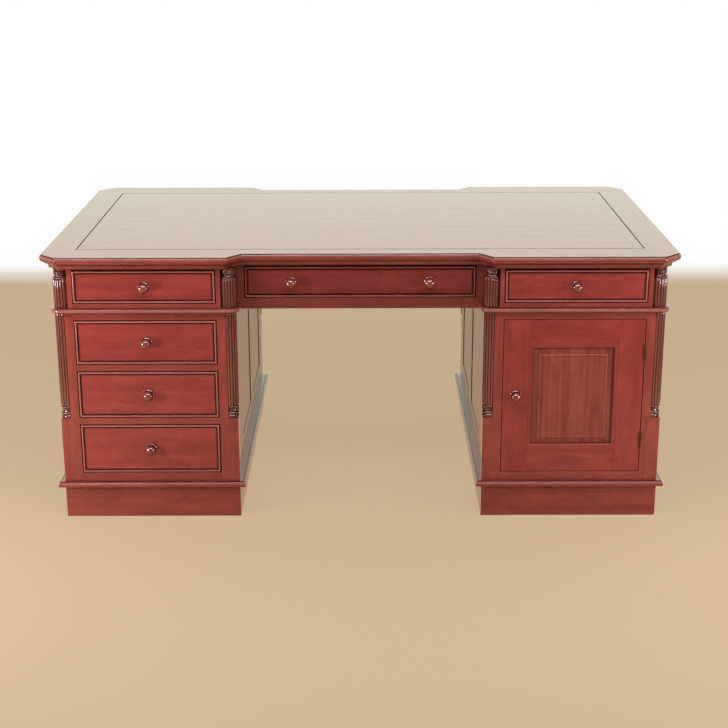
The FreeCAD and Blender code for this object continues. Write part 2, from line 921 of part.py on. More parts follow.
def base_mouldings():
    """Mitred boards with a rounded upper edge that stands out beyond the plinth."""
    made = []
    crown = value(case_z)
    for side in SIDES:
        out_low = f"{side} * {base_x}"
        out_high = f"{side} * ({base_x} - {base_width})"
        in_low = f"{side} * {base_in}"
        in_high = f"{side} * ({base_in} + {base_width})"
        outer_y = value(base_y)
        for sign in SIDES:
            near = f"{sign} * {base_y}"
            far = f"{sign} * ({base_y} - {base_width})"
            corners = straight([(out_low, near), (in_low, near), (in_high, far), (out_high, far)])
            made.append(sketched_board(
                "base_long", corners, "plinth_height", "base_height", "base_round",
                lambda spot: abs(spot.z - crown) < 1e-6 and abs(abs(spot.y) - outer_y) < 1e-6,
            ))
        for edge, back in ((out_low, out_high), (in_low, in_high)):
            ends = (base_y, f"({base_y} - {base_width})")
            corners = straight([(edge, f"-{ends[0]}"), (edge, ends[0]), (back, ends[1]), (back, f"-{ends[1]}")])
            edge_x = value(edge)
            made.append(sketched_board(
                "base_end", corners, "plinth_height", "base_height", "base_round",
                lambda spot, at=edge_x: abs(spot.z - crown) < 1e-6 and abs(spot.x - at) < 1e-6,
            ))
    return made


group("plinths", plinths())
group("base_mouldings", base_mouldings())


# Turned knob, made once about Z with its tenon below zero

knob_body = doc.addObject("PartDesign::Body", "knob_master")
tenon_length = "(front_thickness - tenon_backing)"
button_reach = "(button_radius ^ 2 + button_height ^ 2)"
button_sphere = f"({button_reach} / (2 * button_height))"
button_crown = f"({button_sphere} - sqrt({button_sphere} ^ 2 - {button_reach} / 4))"
turned(knob_body, "knob_profile", f"-{tenon_length}", [
    (tenon_length, "tenon_radius", "tenon_radius", None),
    ("rose_height", "rose_radius", "rose_radius", "rose_height / 4"),
    ("knob_neck_height", "knob_neck_radius", "knob_neck_radius", "-knob_neck_sink"),
    ("knob_rim_height", "knob_rim_radius", "knob_rim_radius", "knob_rim_rise"),
    ("button_height", "button_radius", "0", button_crown),
])


def knob(face, across, out, z):
    """A knob standing out of a face, with its tenon in the wood behind."""
    sign = FACES[face]
    turn = Rotation(Vector(1, 0, 0), -90 * sign)
    return placed("knob", knob_body, f"{-sign} * ({across})", f"{sign} * ({out})", z, turn)


def knob_hole(face, across, out, z):
    """The hole in a front that takes a knob's tenon."""
    sign = FACES[face]
    hole = doc.addObject("Part::Cylinder", "knob_hole")
    bind(hole, "Radius", "tenon_radius + tenon_play")
    bind(hole, "Height", f"{tenon_length} + tenon_play")
    hole.Placement = Placement(Vector(), Rotation(Vector(1, 0, 0), 90 * sign))
    for axis, text in zip("xyz", (f"{-sign} * ({across})", f"{sign} * ({out})", z)):
        bind(hole, f"Placement.Base.{axis}", text)
    return hole


# Drawers: a front edged with a cockbead, a box behind it, and a turned knob or two

def beads(face, across, out, z):
    """Four strips round a drawer front, with their standing edges rounded."""
    low, high = across
    bottom, top = z
    inner = (f"({low} + bead_width)", f"({high} - bead_width)")
    strips = (
        (across, (bottom, f"({bottom} + bead_width)")),
        (across, (f"({top} - bead_width)", top)),
        ((low, inner[0]), (f"({bottom} + bead_width)", f"({top} - bead_width)")),
        ((inner[1], high), (f"({bottom} + bead_width)", f"({top} - bead_width)")),
    )
    crest = value(f"{out} + bead_rise")
    radius = value("(bead_width - bead_flat) / 2")
    made = []
    for strip_across, strip_z in strips:
        body = (f"({out} - front_thickness)", f"({out} + bead_rise)")
        strip = face_box(face, "bead", strip_across, body, strip_z)
        strip.recompute()
        longest = max(edge.Length for edge in strip.Shape.Edges)
        item = doc.addObject("Part::Fillet", "bead_round")
        item.Base = strip
        item.Edges = [
            (index, radius, radius)
            for index, edge in enumerate(strip.Shape.Edges, start=1)
            if abs(abs(edge.CenterOfMass.y) - crest) < 1e-6 and abs(edge.Length - longest) < 1e-6
        ]
        made.append(item)
    return made


def drawer(face, name, opening, level, out, knobs):
    """One drawer in its opening, seen from its own face."""
    label = f"{face}_{name}_drawer"
    low, high = opening
    bottom, top = level
    across = (f"({low} + front_gap)", f"({high} - front_gap)")
    z = (f"({bottom} + front_gap)", f"({top} - front_gap)")
    back = f"({out} - front_thickness)"
    panel_across = (f"({across[0]} + bead_width)", f"({across[1]} - bead_width)")
    panel_z = (f"({z[0]} + bead_width)", f"({z[1]} - bead_width)")
    board = face_box(face, "front_board", panel_across, (back, out), panel_z)
    knob_z = f"(({bottom} + {top}) / 2)"
    for spot in knobs:
        board = cut("bored_front", board, knob_hole(face, spot, out, knob_z))
    group(f"{label}_front", [board] + beads(face, across, out, z))
    side_z = (f"({bottom} + runner_play)", f"({top} - side_drop)")
    floor = f"({side_z[0]} + bottom_lift)"
    floor_top = f"({floor} + drawer_bottom)"
    inside = (f"({across[0]} + drawer_side)", f"({across[1]} - drawer_side)")
    depth = ("back_plane", back)
    pieces = [
        face_box(face, "drawer_side", (across[0], inside[0]), depth, side_z),
        face_box(face, "drawer_side", (inside[1], across[1]), depth, side_z),
        face_box(face, "drawer_back", inside, ("back_plane", "back_plane + drawer_back"), (floor_top, side_z[1])),
        face_box(face, "drawer_bottom", inside, depth, (floor, floor_top)),
    ]
    group(f"{label}_box", pieces)
    group(f"{label}_knob", [knob(face, spot, out, knob_z) for spot in knobs])


left_bay = (f"-{open_out}", f"-{open_in}")
right_bay = (open_in, open_out)
bay_middle = f"(({open_in} + {open_out}) / 2)"
for desk_face in FACES:
    pedestal_levels = (
        ("upper", (upper_z, head_z)),
        ("middle", (middle_z, f"({middle_z} + middle_drawer)")),
        ("lower", (lower_z, f"({lower_z} + lower_drawer)")),
    )
    for drawer_name, drawer_level in pedestal_levels:
        drawer(desk_face, drawer_name, left_bay, drawer_level, face_y, [f"-{bay_middle}"])
    frieze_level = (frieze_low, frieze_high)
    drawer(desk_face, "frieze_left", left_bay, frieze_level, face_y, [f"-{bay_middle}"])
    drawer(desk_face, "frieze_right", right_bay, frieze_level, face_y, [bay_middle])
    drawer(desk_face, "frieze_centre", signed_pair(centre_edge), (centre_low, frieze_high), centre_y,
           ["-centre_knob", "centre_knob"])


# Cupboard doors: a framed and fielded leaf on two butt hinges at its outer edge

hinge_x = f"({open_out} - door_gap / 2)"
hinge_y = f"({face_y} + knuckle_radius + face_play)"
door_low = f"({open_in} + front_gap)"
door_high = f"({open_out} - door_gap)"
door_z = (f"({lower_z} + front_gap)", f"({head_z} - front_gap)")


def door_leaf(face):
    """Two stiles, two rails, a fielded panel and the small moulding that holds it."""
    out = (f"({face_y} - door_thickness)", face_y)
    gap = (f"({door_low} + door_stile)", f"({door_high} - door_stile)")
    gap_z = (f"({door_z[0]} + door_rail)", f"({door_z[1]} - door_rail)")
    knob_x = f"({door_low} + door_stile / 2)"
    knob_z = f"({lower_z} + door_knob_lift)"
    near = face_box(face, "door_stile", (door_low, gap[0]), out, door_z)
    near = cut("bored_stile", near, knob_hole(face, knob_x, face_y, knob_z))
    pieces = [
        near,
        face_box(face, "door_stile", (gap[1], door_high), out, door_z),
        face_box(face, "door_rail", gap, out, (door_z[0], gap_z[0])),
        face_box(face, "door_rail", gap, out, (gap_z[1], door_z[1])),
    ]
    seat = f"({face_y} - field_rise - panel_sink)"
    strip_out = (seat, face_y)
    inner = (f"({gap[0]} + door_moulding)", f"({gap[1]} - door_moulding)")
    inner_z = (f"({gap_z[0]} + door_moulding)", f"({gap_z[1]} - door_moulding)")
    crest = value(face_y)
    strips = (
        (gap, (gap_z[0], inner_z[0])),
        (gap, (inner_z[1], gap_z[1])),
        ((gap[0], inner[0]), inner_z),
        ((inner[1], gap[1]), inner_z),
    )
    middle = Vector(-FACES[face] * value(f"({gap[0]} + {gap[1]}) / 2"), 0, value(f"({gap_z[0]} + {gap_z[1]}) / 2"))
    for strip_across, strip_z in strips:
        strip = face_box(face, "panel_moulding", strip_across, strip_out, strip_z)
        strip.recompute()
        longest = max(edge.Length for edge in strip.Shape.Edges)
        front_edges = [
            (index, edge) for index, edge in enumerate(strip.Shape.Edges, start=1)
            if abs(abs(edge.CenterOfMass.y) - crest) < 1e-6 and abs(edge.Length - longest) < 1e-6
        ]
        chosen = min(front_edges, key=lambda pair: (pair[1].CenterOfMass - middle).Length)[0]
        item = doc.addObject("Part::Fillet", "panel_moulding_round")
        item.Base = strip
        item.Edges = [(chosen, value("moulding_round"), value("moulding_round"))]
        pieces.append(item)
    pieces.append(fielded_panel(face, gap, gap_z, inner, inner_z, seat))
    group(f"{face}_door_leaf", pieces)
    group(f"{face}_door_knob", [knob(face, knob_x, face_y, knob_z)])


def fielded_panel(face, gap, gap_z, inner, inner_z, seat):
    """A flat panel in the frame, with a field raised on sloping margins."""
    base = face_box(face, "panel_base", gap, (f"({seat} - door_panel)", seat), gap_z)
    sign = FACES[face]
    field = doc.addObject("Part::Wedge", "panel_field")
    half = f"(({inner[1]}) - ({inner[0]})) / 2"
    bind(field, "Xmin", f"-({half})")
    bind(field, "Xmax", half)
    bind(field, "X2min", f"-({half} - door_bevel)")
    bind(field, "X2max", f"{half} - door_bevel")
    height = f"(({inner_z[1]}) - ({inner_z[0]}))"
    bind(field, "Zmin", "0")
    bind(field, "Zmax", height)
    bind(field, "Z2min", "door_bevel")
    bind(field, "Z2max", f"{height} - door_bevel")
    bind(field, "Ymin", "0")
    bind(field, "Ymax", "field_rise")
    field.Placement = Placement(Vector(), Rotation(Vector(0, 0, 1), 90 - 90 * sign))
    bind(field, "Placement.Base.x", f"{-sign} * (({inner[0]}) + ({inner[1]})) / 2")
    bind(field, "Placement.Base.y", f"{sign} * {seat}")
    bind(field, "Placement.Base.z", inner_z[0])
    return fuse("door_panel", [base, field])


def rod(face, name, radius, low, high):
    """A round bar along the hinge's axis."""
    sign = FACES[face]
    bar = doc.addObject("Part::Cylinder", name)
    bind(bar, "Radius", radius)
    bind(bar, "Height", f"({high}) - ({low})")
    for axis, text in zip("xyz", (f"{-sign} * {hinge_x}", f"{sign} * {hinge_y}", low)):
        bind(bar, f"Placement.Base.{axis}", text)
    return bar


def hinge(face, low):
    """One butt hinge: the leaf on the post with two knuckles and the pin, and the leaf on the door."""
    high = f"({low} + hinge_length)"
    turn_low = f"({low} + knuckle_length)"
    turn_high = f"({high} - knuckle_length)"
    plate_out = (f"({face_y} - leaf_width)", f"({face_y} - face_play)")
    tab_out = (plate_out[1], hinge_y)
    post_leaf = (f"({open_out} - leaf_thickness)", open_out)
    door_leaf_span = (door_high, f"({door_high} + leaf_thickness)")
    fixed = [face_box(face, "post_leaf", post_leaf, plate_out, (low, high))]
    for start, end in ((low, turn_low), (turn_high, high)):
        fixed.append(face_box(face, "post_tab", post_leaf, tab_out, (start, end)))
        fixed.append(rod(face, "post_knuckle", "knuckle_radius", start, end))
    fixed.append(rod(face, "hinge_pin", "pin_radius", low, high))
    play_low = f"({turn_low} + knuckle_play)"
    play_high = f"({turn_high} - knuckle_play)"
    moving = [
        face_box(face, "leaf", door_leaf_span, plate_out, (low, high)),
        face_box(face, "leaf_tab", door_leaf_span, tab_out, (play_low, play_high)),
        rod(face, "leaf_knuckle", "knuckle_radius", play_low, play_high),
    ]
    bore = rod(face, "pin_bore", "pin_radius + pin_play", low, high)
    return fuse("post_hinge", fixed), cut("leaf_hinge", fuse("leaf_blank", moving), bore)


post_hinges = []
for desk_face in FACES:
    door_leaf(desk_face)
    leaves = []
    for hinge_low in (f"({door_z[0]} + hinge_inset)", f"({door_z[1]} - hinge_inset - hinge_length)"):
        on_post, on_door = hinge(desk_face, hinge_low)
        post_hinges.append(on_post)
        leaves.append(on_door)
    group(f"{desk_face}_door_hinges", leaves)
group("post_hinges", post_hinges)


# Every piece is tested before anything is written

doc.recompute()
for item in doc.Objects:
    if "Invalid" in item.State or "Error" in item.State:
        raise RuntimeError(f"{item.Name} failed: {item.getStatusString()}")
os.makedirs("parts", exist_ok=True)
for item in nodes:
    if item.Shape.isNull() or not item.Shape.isValid():
        raise RuntimeError(f"{item.Label} has no valid shape")
for item in nodes:
    item.Shape.exportStep(f"parts/{item.Label}.step")
print(len(nodes), "nodes,", sum(len(item.Shape.Solids) for item in nodes), "solids")
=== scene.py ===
import math

import bpy
import numpy as np
from mathutils import Matrix


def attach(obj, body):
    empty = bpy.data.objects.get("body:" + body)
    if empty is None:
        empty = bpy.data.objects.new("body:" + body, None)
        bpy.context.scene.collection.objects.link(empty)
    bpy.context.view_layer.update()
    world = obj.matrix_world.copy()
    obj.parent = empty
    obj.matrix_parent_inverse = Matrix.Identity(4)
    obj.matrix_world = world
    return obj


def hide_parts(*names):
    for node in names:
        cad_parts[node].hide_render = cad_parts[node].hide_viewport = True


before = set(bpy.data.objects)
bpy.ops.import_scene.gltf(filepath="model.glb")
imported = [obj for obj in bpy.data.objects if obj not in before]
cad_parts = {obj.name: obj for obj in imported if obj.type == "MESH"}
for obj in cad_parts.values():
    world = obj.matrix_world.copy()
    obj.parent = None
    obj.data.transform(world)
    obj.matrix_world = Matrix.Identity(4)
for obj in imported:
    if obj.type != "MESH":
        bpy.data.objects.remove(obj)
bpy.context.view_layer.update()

# A mahogany partners desk. Sizes are in mm: X along the desk, Y from its front face to its rear face, Z up,
# with the origin on the floor under the middle. The rear face is the front face turned half round.


# Plinths: the two bases that stand on the floor. Each is four mahogany boards, mitred at the corners and
# glued to square blocks inside, then stained and polished with the rest of the case.

FACE_X, KNEE_X, FACE_Y = 869.0, 354.5, 506.0
PLINTH_TOP = 98.0
PLINTH_BOARD = 20.0
PLINTH_BLOCK = 40.0
PLINTH_EASE, PLINTH_CORNER = 1.5, 1.2
BLOCK_SHORT = 0.5
SIDES = (-1, 1)
draw = np.random.default_rng(1790)


def linear(code):
    """An sRGB hex colour as linear red, green, blue and alpha."""
    part = np.array([int(code[i:i + 2], 16) for i in (1, 3, 5)]) / 255
    part = np.where(part <= 0.04045, part / 12.92, ((part + 0.055) / 1.055) ** 2.4)
    return (*part.tolist(), 1.0)


def add(tree, kind, inputs=None, **settings):
    """One node. Settings are its own properties, and each input is a plain value or another node's output."""
    made = tree.nodes.new(kind)
    for name, setting in settings.items():
        setattr(made, name, setting)
    for name, given in (inputs or {}).items():
        if isinstance(given, bpy.types.NodeSocket):
            tree.links.new(given, made.inputs[name])
        else:
            made.inputs[name].default_value = given
    return made


# The colour of painted shade in hollows, creases and recesses.
PAINTED_SHADE_COLOUR = "#170705"


def timber(name, dark, light, tint, pore, crest="#c98f80", stripe=17.0, polish=1.0, rough=0.3,
           shine=0.08, depth=0.4, index=1.5, carried=True):
    """Sawn and planed timber. Grain coordinates in mm come with each board: along it, across it and
    through it. Where they aren't carried by the mesh, its own coordinates serve, with the grain along X.
    Long narrow noise gives the stripes, shorter noise the figure, broad noise the slow change of colour,
    and fine noise the open pores. Real pores are 0.2 mm wide, and are drawn at 0.7 mm so that they show.
    Painted shading comes with each point: above zero, painted shade darkens a hollow and dulls its polish,
    and below zero, a painted highlight in the crest colour pales a crest."""
    made = bpy.data.materials.new(name)
    made.use_nodes = True
    tree = made.node_tree
    shader = tree.nodes["Principled BSDF"]
    if carried:
        place = add(tree, "ShaderNodeAttribute", attribute_name="grain").outputs["Vector"]
    else:
        metres = add(tree, "ShaderNodeTexCoord").outputs["Object"]
        place = add(tree, "ShaderNodeMapping", {"Vector": metres, "Scale": (1000, 1000, 1000)}).outputs[0]
    painted_shading = add(tree, "ShaderNodeAttribute", attribute_name="painted_shading").outputs["Fac"]
    fields = {}
    # Length along the grain and width across it in mm, detail, distortion, and the part of the noise used.
    spans = {
        "stripe": (700, stripe, 3.0, 0.4, 0.28, 0.72),
        "figure": (110, 40, 2.0, 0.8, 0.3, 0.7),
        "tone": (900, 420, 1.0, 0.0, 0.3, 0.7),
        "pore": (24, 0.7, 1.0, 0.1, 0.56, 0.74),
    }
    for field, (run, width, detail, bend, low, high) in spans.items():
        scaled = add(tree, "ShaderNodeMapping", {
            "Vector": place, "Scale": (1 / run, 1 / width, 1 / width)})
        noise = add(tree, "ShaderNodeTexNoise", {
            "Vector": scaled.outputs[0], "Scale": 1.0, "Detail": detail, "Distortion": bend})
        fields[field] = add(tree, "ShaderNodeMapRange", {
            "Value": noise.outputs[0], "From Min": low, "From Max": high}).outputs[0]
    striped = add(tree, "ShaderNodeMix", {
        0: fields["stripe"], 6: linear(dark), 7: linear(light)}, data_type="RGBA")
    share = add(tree, "ShaderNodeMath", {0: fields["tone"], 1: 0.6}, operation="MULTIPLY")
    toned = add(tree, "ShaderNodeMix", {
        0: share.outputs[0], 6: striped.outputs[2], 7: linear(tint)}, data_type="RGBA")
    shade = add(tree, "ShaderNodeMapRange", {"Value": fields["figure"], "To Min": 0.82, "To Max": 1.12})
    lit = add(tree, "ShaderNodeMix", {0: 1.0, 6: toned.outputs[2], 7: shade.outputs[0]},
              data_type="RGBA", blend_type="MULTIPLY")
    open_pore = add(tree, "ShaderNodeMath", {0: fields["pore"], 1: depth}, operation="MULTIPLY")
    pored = add(tree, "ShaderNodeMix", {
        0: open_pore.outputs[0], 6: lit.outputs[2], 7: linear(pore)}, data_type="RGBA")
    # Painted highlight: crests are mixed towards the crest colour. Painted shade: hollows are mixed towards
    # near black.
    highlight_share = add(tree, "ShaderNodeMapRange", {"Value": painted_shading, "From Min": 0.0, "From Max": -1.0})
    pale = add(tree, "ShaderNodeMix", {
        0: highlight_share.outputs[0], 6: pored.outputs[2], 7: linear(crest)}, data_type="RGBA")
    shade_share = add(tree, "ShaderNodeMapRange", {"Value": painted_shading, "To Max": 0.9})
    with_painted_shade = add(tree, "ShaderNodeMix", {
        0: shade_share.outputs[0], 6: pale.outputs[2], 7: linear(PAINTED_SHADE_COLOUR)}, data_type="RGBA")
    relief = add(tree, "ShaderNodeBump", {
        "Height": fields["pore"], "Strength": 0.05, "Distance": 0.0002}, invert=True)
    tree.links.new(with_painted_shade.outputs[2], shader.inputs["Base Color"])
    tree.links.new(relief.outputs[0], shader.inputs["Normal"])
    shader.inputs["Roughness"].default_value = rough
    shader.inputs["Specular IOR Level"].default_value = 0.12
    # Where painted shade is deep, the coat is taken away too, so the hollow stays dark.
    coat_under_shade = add(tree, "ShaderNodeMapRange", {
        "Value": painted_shading, "From Min": 0.5, "From Max": 0.95, "To Min": polish, "To Max": 0.0})
    tree.links.new(coat_under_shade.outputs[0], shader.inputs["Coat Weight"])
    shader.inputs["Coat Roughness"].default_value = shine
    shader.inputs["Coat IOR"].default_value = index
    return made


# French polished mahogany: red-brown with soft stripes along the grain, under a hard clear shine that
# mirrors pale surroundings at a low angle.
CASE_COLOURS = ("#8a3a30", "#a84d41", "#994237", "#43170f")
polished = timber("polished_mahogany", *CASE_COLOURS)


def skin(rows, columns, loop=False):
    """Quads of a grid of points that closes on itself across its columns and, for a loop, along its rows
    too."""
    at = np.arange(rows * columns).reshape(rows, columns)
    ahead = np.roll(at, -1, axis=0)
    quads = np.stack([at, np.roll(at, -1, axis=1), np.roll(ahead, -1, axis=1), ahead], axis=-1)
    return (quads if loop else quads[:-1]).reshape(-1, 4)


def ends(rows, columns):
    """The first and the last row of a grid as flat faces that point away from it."""
    return [np.arange(columns)[::-1], np.arange((rows - 1) * columns, rows * columns)]


# Points round each rounded corner of a moulding.
ROUND_STEPS = 9


def moulding(corners, radii, profile, loop=True, painted_shading=0.0):
    """A moulding carried round a plan that runs counter-clockwise, its outline square to the run. The
    profile is a closed line of (set in, height), from the top down the face. At a corner of radius r a
    point set in by p stands (r - p) out from the corner's centre, and where p is more than r it stands on
    the mitre line. Painted shading, shade and highlight, is given for each point of the profile."""
    corners, radii, profile = (np.array(item, float) for item in (corners, radii, profile))
    runs = np.roll(corners, -1, axis=0) - corners
    runs /= np.linalg.norm(runs, axis=1)[:, None]
    after = np.stack([runs[:, 1], -runs[:, 0]], axis=1)
    before = np.roll(after, 1, axis=0)
    if not loop:
        before[0], after[-1] = after[0], before[-1]
    even = (before * after).sum(axis=1)
    mitre = (before + after) / (1 + even)[:, None]
    turn = np.arctan2(before[:, 0] * after[:, 1] - before[:, 1] * after[:, 0], even)
    steps = np.where(radii > 0, ROUND_STEPS, 1)
    which = np.repeat(np.arange(len(corners)), steps)
    first = np.repeat(np.cumsum(steps) - steps, steps)
    share = (np.arange(len(which)) - first) / np.maximum(steps - 1, 1)[which]
    angle = np.arctan2(before[:, 1], before[:, 0])[which] + turn[which] * share
    normal = np.stack([np.cos(angle), np.sin(angle)], axis=1)[:, None, :]
    reach = (radii[which][:, None] - profile[:, 0])[..., None]
    centre = (corners - radii[:, None] * mitre)[which][:, None, :]
    plan = centre + np.maximum(reach, 0) * normal + np.minimum(reach, 0) * mitre[which][:, None, :]
    rows, columns = plan.shape[:2]
    height = np.broadcast_to(profile[:, 1], (rows, columns))[..., None]
    points = np.concatenate([plan, height], axis=2).reshape(-1, 3)
    edge = (centre + radii[which][:, None, None] * normal)[:, 0]
    run = np.append(0, np.cumsum(np.linalg.norm(np.roll(edge, -1, axis=0) - edge, axis=1)))
    girth = np.append(0, np.cumsum(np.linalg.norm(np.roll(profile, -1, axis=0) - profile, axis=1)))
    row, column = np.indices((rows if loop else rows - 1, columns)).reshape(2, -1)
    along = np.stack([run[row], run[row], run[row + 1], run[row + 1]], axis=1)
    over = np.stack([girth[column], girth[column + 1], girth[column + 1], girth[column]], axis=1)
    grain = np.stack([along, over, 0 * over], axis=-1).reshape(-1, 3)
    caps = [] if loop else ends(rows, columns)
    grain = np.concatenate([grain] + [points[cap] for cap in caps])
    return points, skin(rows, columns, loop), caps, grain, np.broadcast_to(painted_shading, (rows, columns)).ravel()


def board(low, high, along, edge=0.6):
    """A planed board with eased edges: a rectangle whose corners are quarter circles, carried along the
    board. At each end the circles shrink as the cosine of an angle while the section moves out as its
    sine. The grain runs along the board."""
    low, high = np.minimum(low, high), np.maximum(low, high)
    axes = np.array([along, along + 1, along + 2]) % 3
    middle, half = ((low + high) / 2)[axes], ((high - low) / 2)[axes]
    # The sine and cosine of 0, 30, 60 and 90 degrees, with the last circle left a little open.
    rise = np.array([0, 0.5, 0.866, 1.0])
    close = np.array([1, 0.866, 0.5, 0.15])
    out = np.concatenate([edge - half[0] - edge * rise[::-1], half[0] - edge + edge * rise])
    small = edge * np.concatenate([close[::-1], close])[:, None, None]
    angle = np.radians(np.arange(4)[:, None] * 90 + np.linspace(0, 90, 4)).ravel()
    corner = np.repeat([[1, 1], [-1, 1], [-1, -1], [1, -1]], 4, axis=0) * (half[1:] - edge)
    ring = corner + small * np.stack([np.cos(angle), np.sin(angle)], axis=1)
    rows, columns = len(out), len(angle)
    points = np.zeros((rows, columns, 3))
    points[:, :, axes[0]] = (middle[0] + out)[:, None]
    points[:, :, axes[1:]] = middle[1:] + ring
    points = points.reshape(-1, 3)
    quads, caps = skin(rows, columns), ends(rows, columns)
    grain = points[np.concatenate([quads.ravel(), *caps])][:, axes]
    return points, quads, caps, grain, np.zeros(len(points))


# Less than the 15 degrees between a board's face and its eased edge, so that the face shades flat.
BOARD_CREASE = 12
# Each part's grain starts somewhere within this length, in mm.
TIMBER_LENGTH = 5000


def piece(name, parts, finish, body, nodes, turn=1, crease=28):
    """Joins parts into one mesh at the origin, turned half round where turn is -1. Each part is cut from
    its own length of timber: its grain coordinates move by a random step. Faces that meet at more than
    the crease, in degrees, meet in a sharp edge."""
    points, faces, grain, painted_shadings = [], [], [], []
    count = 0
    for part, quads, caps, fibre, painted_shading in parts:
        points.append(part * [0.001 * turn, 0.001 * turn, 0.001])
        faces += (quads + count).tolist() + [(cap + count).tolist() for cap in caps]
        grain.append(fibre + draw.uniform(0, TIMBER_LENGTH, 3))
        painted_shadings.append(painted_shading)
        count += len(part)
    mesh = bpy.data.meshes.new(name)
    mesh.from_pydata(np.concatenate(points).tolist(), [], faces)
    fibres = mesh.attributes.new("grain", "FLOAT_VECTOR", "CORNER")
    fibres.data.foreach_set("vector", np.concatenate(grain).astype(np.float32).ravel())
    # The painted shading of each point: painted shade above zero, painted highlight below.
    shading_layer = mesh.attributes.new("painted_shading", "FLOAT", "POINT")
    shading_layer.data.foreach_set("value", np.concatenate(painted_shadings).astype(np.float32))
    mesh.polygons.foreach_set("use_smooth", np.ones(len(faces), bool))
    mesh.set_sharp_from_angle(angle=math.radians(crease))
    mesh.materials.append(finish)
    made = bpy.data.objects.new(name, mesh)
    bpy.context.scene.collection.objects.link(made)
    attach(made, body)
    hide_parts(*nodes)
    return made


def pedestal_plan(side, spread):
    """Corners of a pedestal's plan, counter-clockwise, let out by a spread."""
    low, high = sorted((side * (KNEE_X - spread), side * (FACE_X + spread)))
    deep = FACE_Y + spread
    return [(low, -deep), (high, -deep), (high, deep), (low, deep)]


plinth_parts = []
plinth_section = [
    (PLINTH_BOARD, PLINTH_TOP), (0, PLINTH_TOP), (0, PLINTH_EASE), (PLINTH_EASE, 0), (PLINTH_BOARD, 0)]
for side in SIDES:
    plinth_parts.append(moulding(pedestal_plan(side, 0), [PLINTH_CORNER] * 4, plinth_section))
    for edge, inward in ((KNEE_X, 1), (FACE_X, -1)):
        for face in SIDES:
            near = side * (edge + inward * PLINTH_BOARD)
            far = near + side * inward * PLINTH_BLOCK
            deep = face * (FACE_Y - PLINTH_BOARD)
            plinth_parts.append(board(
                (near, deep, 0), (far, deep - face * PLINTH_BLOCK, PLINTH_TOP - BLOCK_SHORT), 2))
piece("plinth_boards", plinth_parts, polished, "carcass", ["plinths"], crease=BOARD_CREASE)


# Base mouldings: flat boards with a rounded upper edge, worked on the solid and mitred round the top of each
# plinth. They stand out beyond the plinth and throw its head into shadow.

BASE_TOP = 114.0
BASE_OUT = 17.0
BASE_ROUND = 9.0
BASE_WIDTH = 79.0
BASE_EASE, BASE_CORNER = 1.2, 1.5


def arc(centre, radius, start, stop, count):
    """Points of a circle's arc between two angles in degrees, as (set in, height)."""
    angle = np.radians(np.linspace(start, stop, count))
    return np.stack([centre[0] + radius * np.cos(angle), centre[1] + radius * np.sin(angle)], axis=1)


base_section = np.concatenate([
    [(BASE_WIDTH, BASE_TOP)],
    arc((BASE_ROUND, BASE_TOP - BASE_ROUND), BASE_ROUND, 90, 180, 8),
    arc((BASE_EASE, PLINTH_TOP + BASE_EASE), BASE_EASE, 180, 270, 4),
    [(BASE_WIDTH, PLINTH_TOP)],
])
base_painted_light = np.zeros(len(base_section))
# From the top of the round down: painted shade above, then a painted highlight line.
base_painted_light[1:9] = [0.2, 0.85, 0.9, 0.6, -0.1, -0.4, -0.3, 0]
base_parts = [
    moulding(pedestal_plan(side, BASE_OUT), [BASE_CORNER] * 4, base_section, painted_shading=base_painted_light)
    for side in SIDES]
piece("base_moulding_runs", base_parts, polished, "carcass", ["base_mouldings"])


# Pedestal posts: square corner posts of solid mahogany. Above a plain block each is hollowed at its outer
# corner by a round groove, and a turned column stands in the groove.

POST_WIDE, POST_DEEP, POST_EASE = 54.0, 50.0, 0.8
BLOCK_TOP = 306.0
WAIST_LOW = 623.0
COLUMN_IN = 20.0
GROOVE = 21.6


def prism(outline, low, high, along):
    """A board sawn to an outline in plan, taken counter-clockwise, and carried straight up. The grain
    runs along the given axis."""
    outline = np.array(outline, float)
    after = np.roll(outline, -1, axis=0)
    area = (outline[:, 0] * after[:, 1] - outline[:, 1] * after[:, 0]).sum()
    outline = outline if area > 0 else outline[::-1]
    count = len(outline)
    points = np.column_stack([np.tile(outline, (2, 1)), np.repeat([low, high], count)])
    quads, caps = skin(2, count), ends(2, count)
    axes = np.array([along, along + 1, along + 2]) % 3
    grain = points[np.concatenate([quads.ravel(), *caps])][:, axes]
    return points, quads, caps, grain, np.zeros(len(points))


def corner_posts(low, block, high, hollow):
    """Posts at the eight pedestal corners: a block up to one level, and above it a post hollowed at its
    corner. The hollow is a line of (across, deep) measured in from the corner, from the side round to the
    face."""
    made = []
    outline = [(POST_WIDE, POST_DEEP), (0, POST_DEEP), *hollow, (POST_WIDE, 0)]
    for side in SIDES:
        for face in SIDES:
            for edge, inward in ((FACE_X, -1), (KNEE_X, 1)):
                corner = np.array([side * edge, face * FACE_Y])
                into = np.array([side * inward, -face])
                if block > low:
                    far = corner + into * (POST_WIDE, POST_DEEP)
                    made.append(board((*corner, low), (*far, block), 2, POST_EASE))
                made.append(prism(corner + into * outline, block, high, 2))
    return made


lean = math.degrees(math.acos(COLUMN_IN / GROOVE))
groove_line = arc((COLUMN_IN, COLUMN_IN), GROOVE, 180 - lean, lean - 90, 25)
post_parts = corner_posts(BASE_TOP, BLOCK_TOP, WAIST_LOW, groove_line)
piece("pedestal_corner_posts", post_parts, polished, "carcass", ["pedestal_posts"],
      crease=BOARD_CREASE)


# Pedestal columns: turned mahogany with sixteen reeds, worked by hand between turned rings. Each stands on
# the block of its post and runs up under the waist moulding.

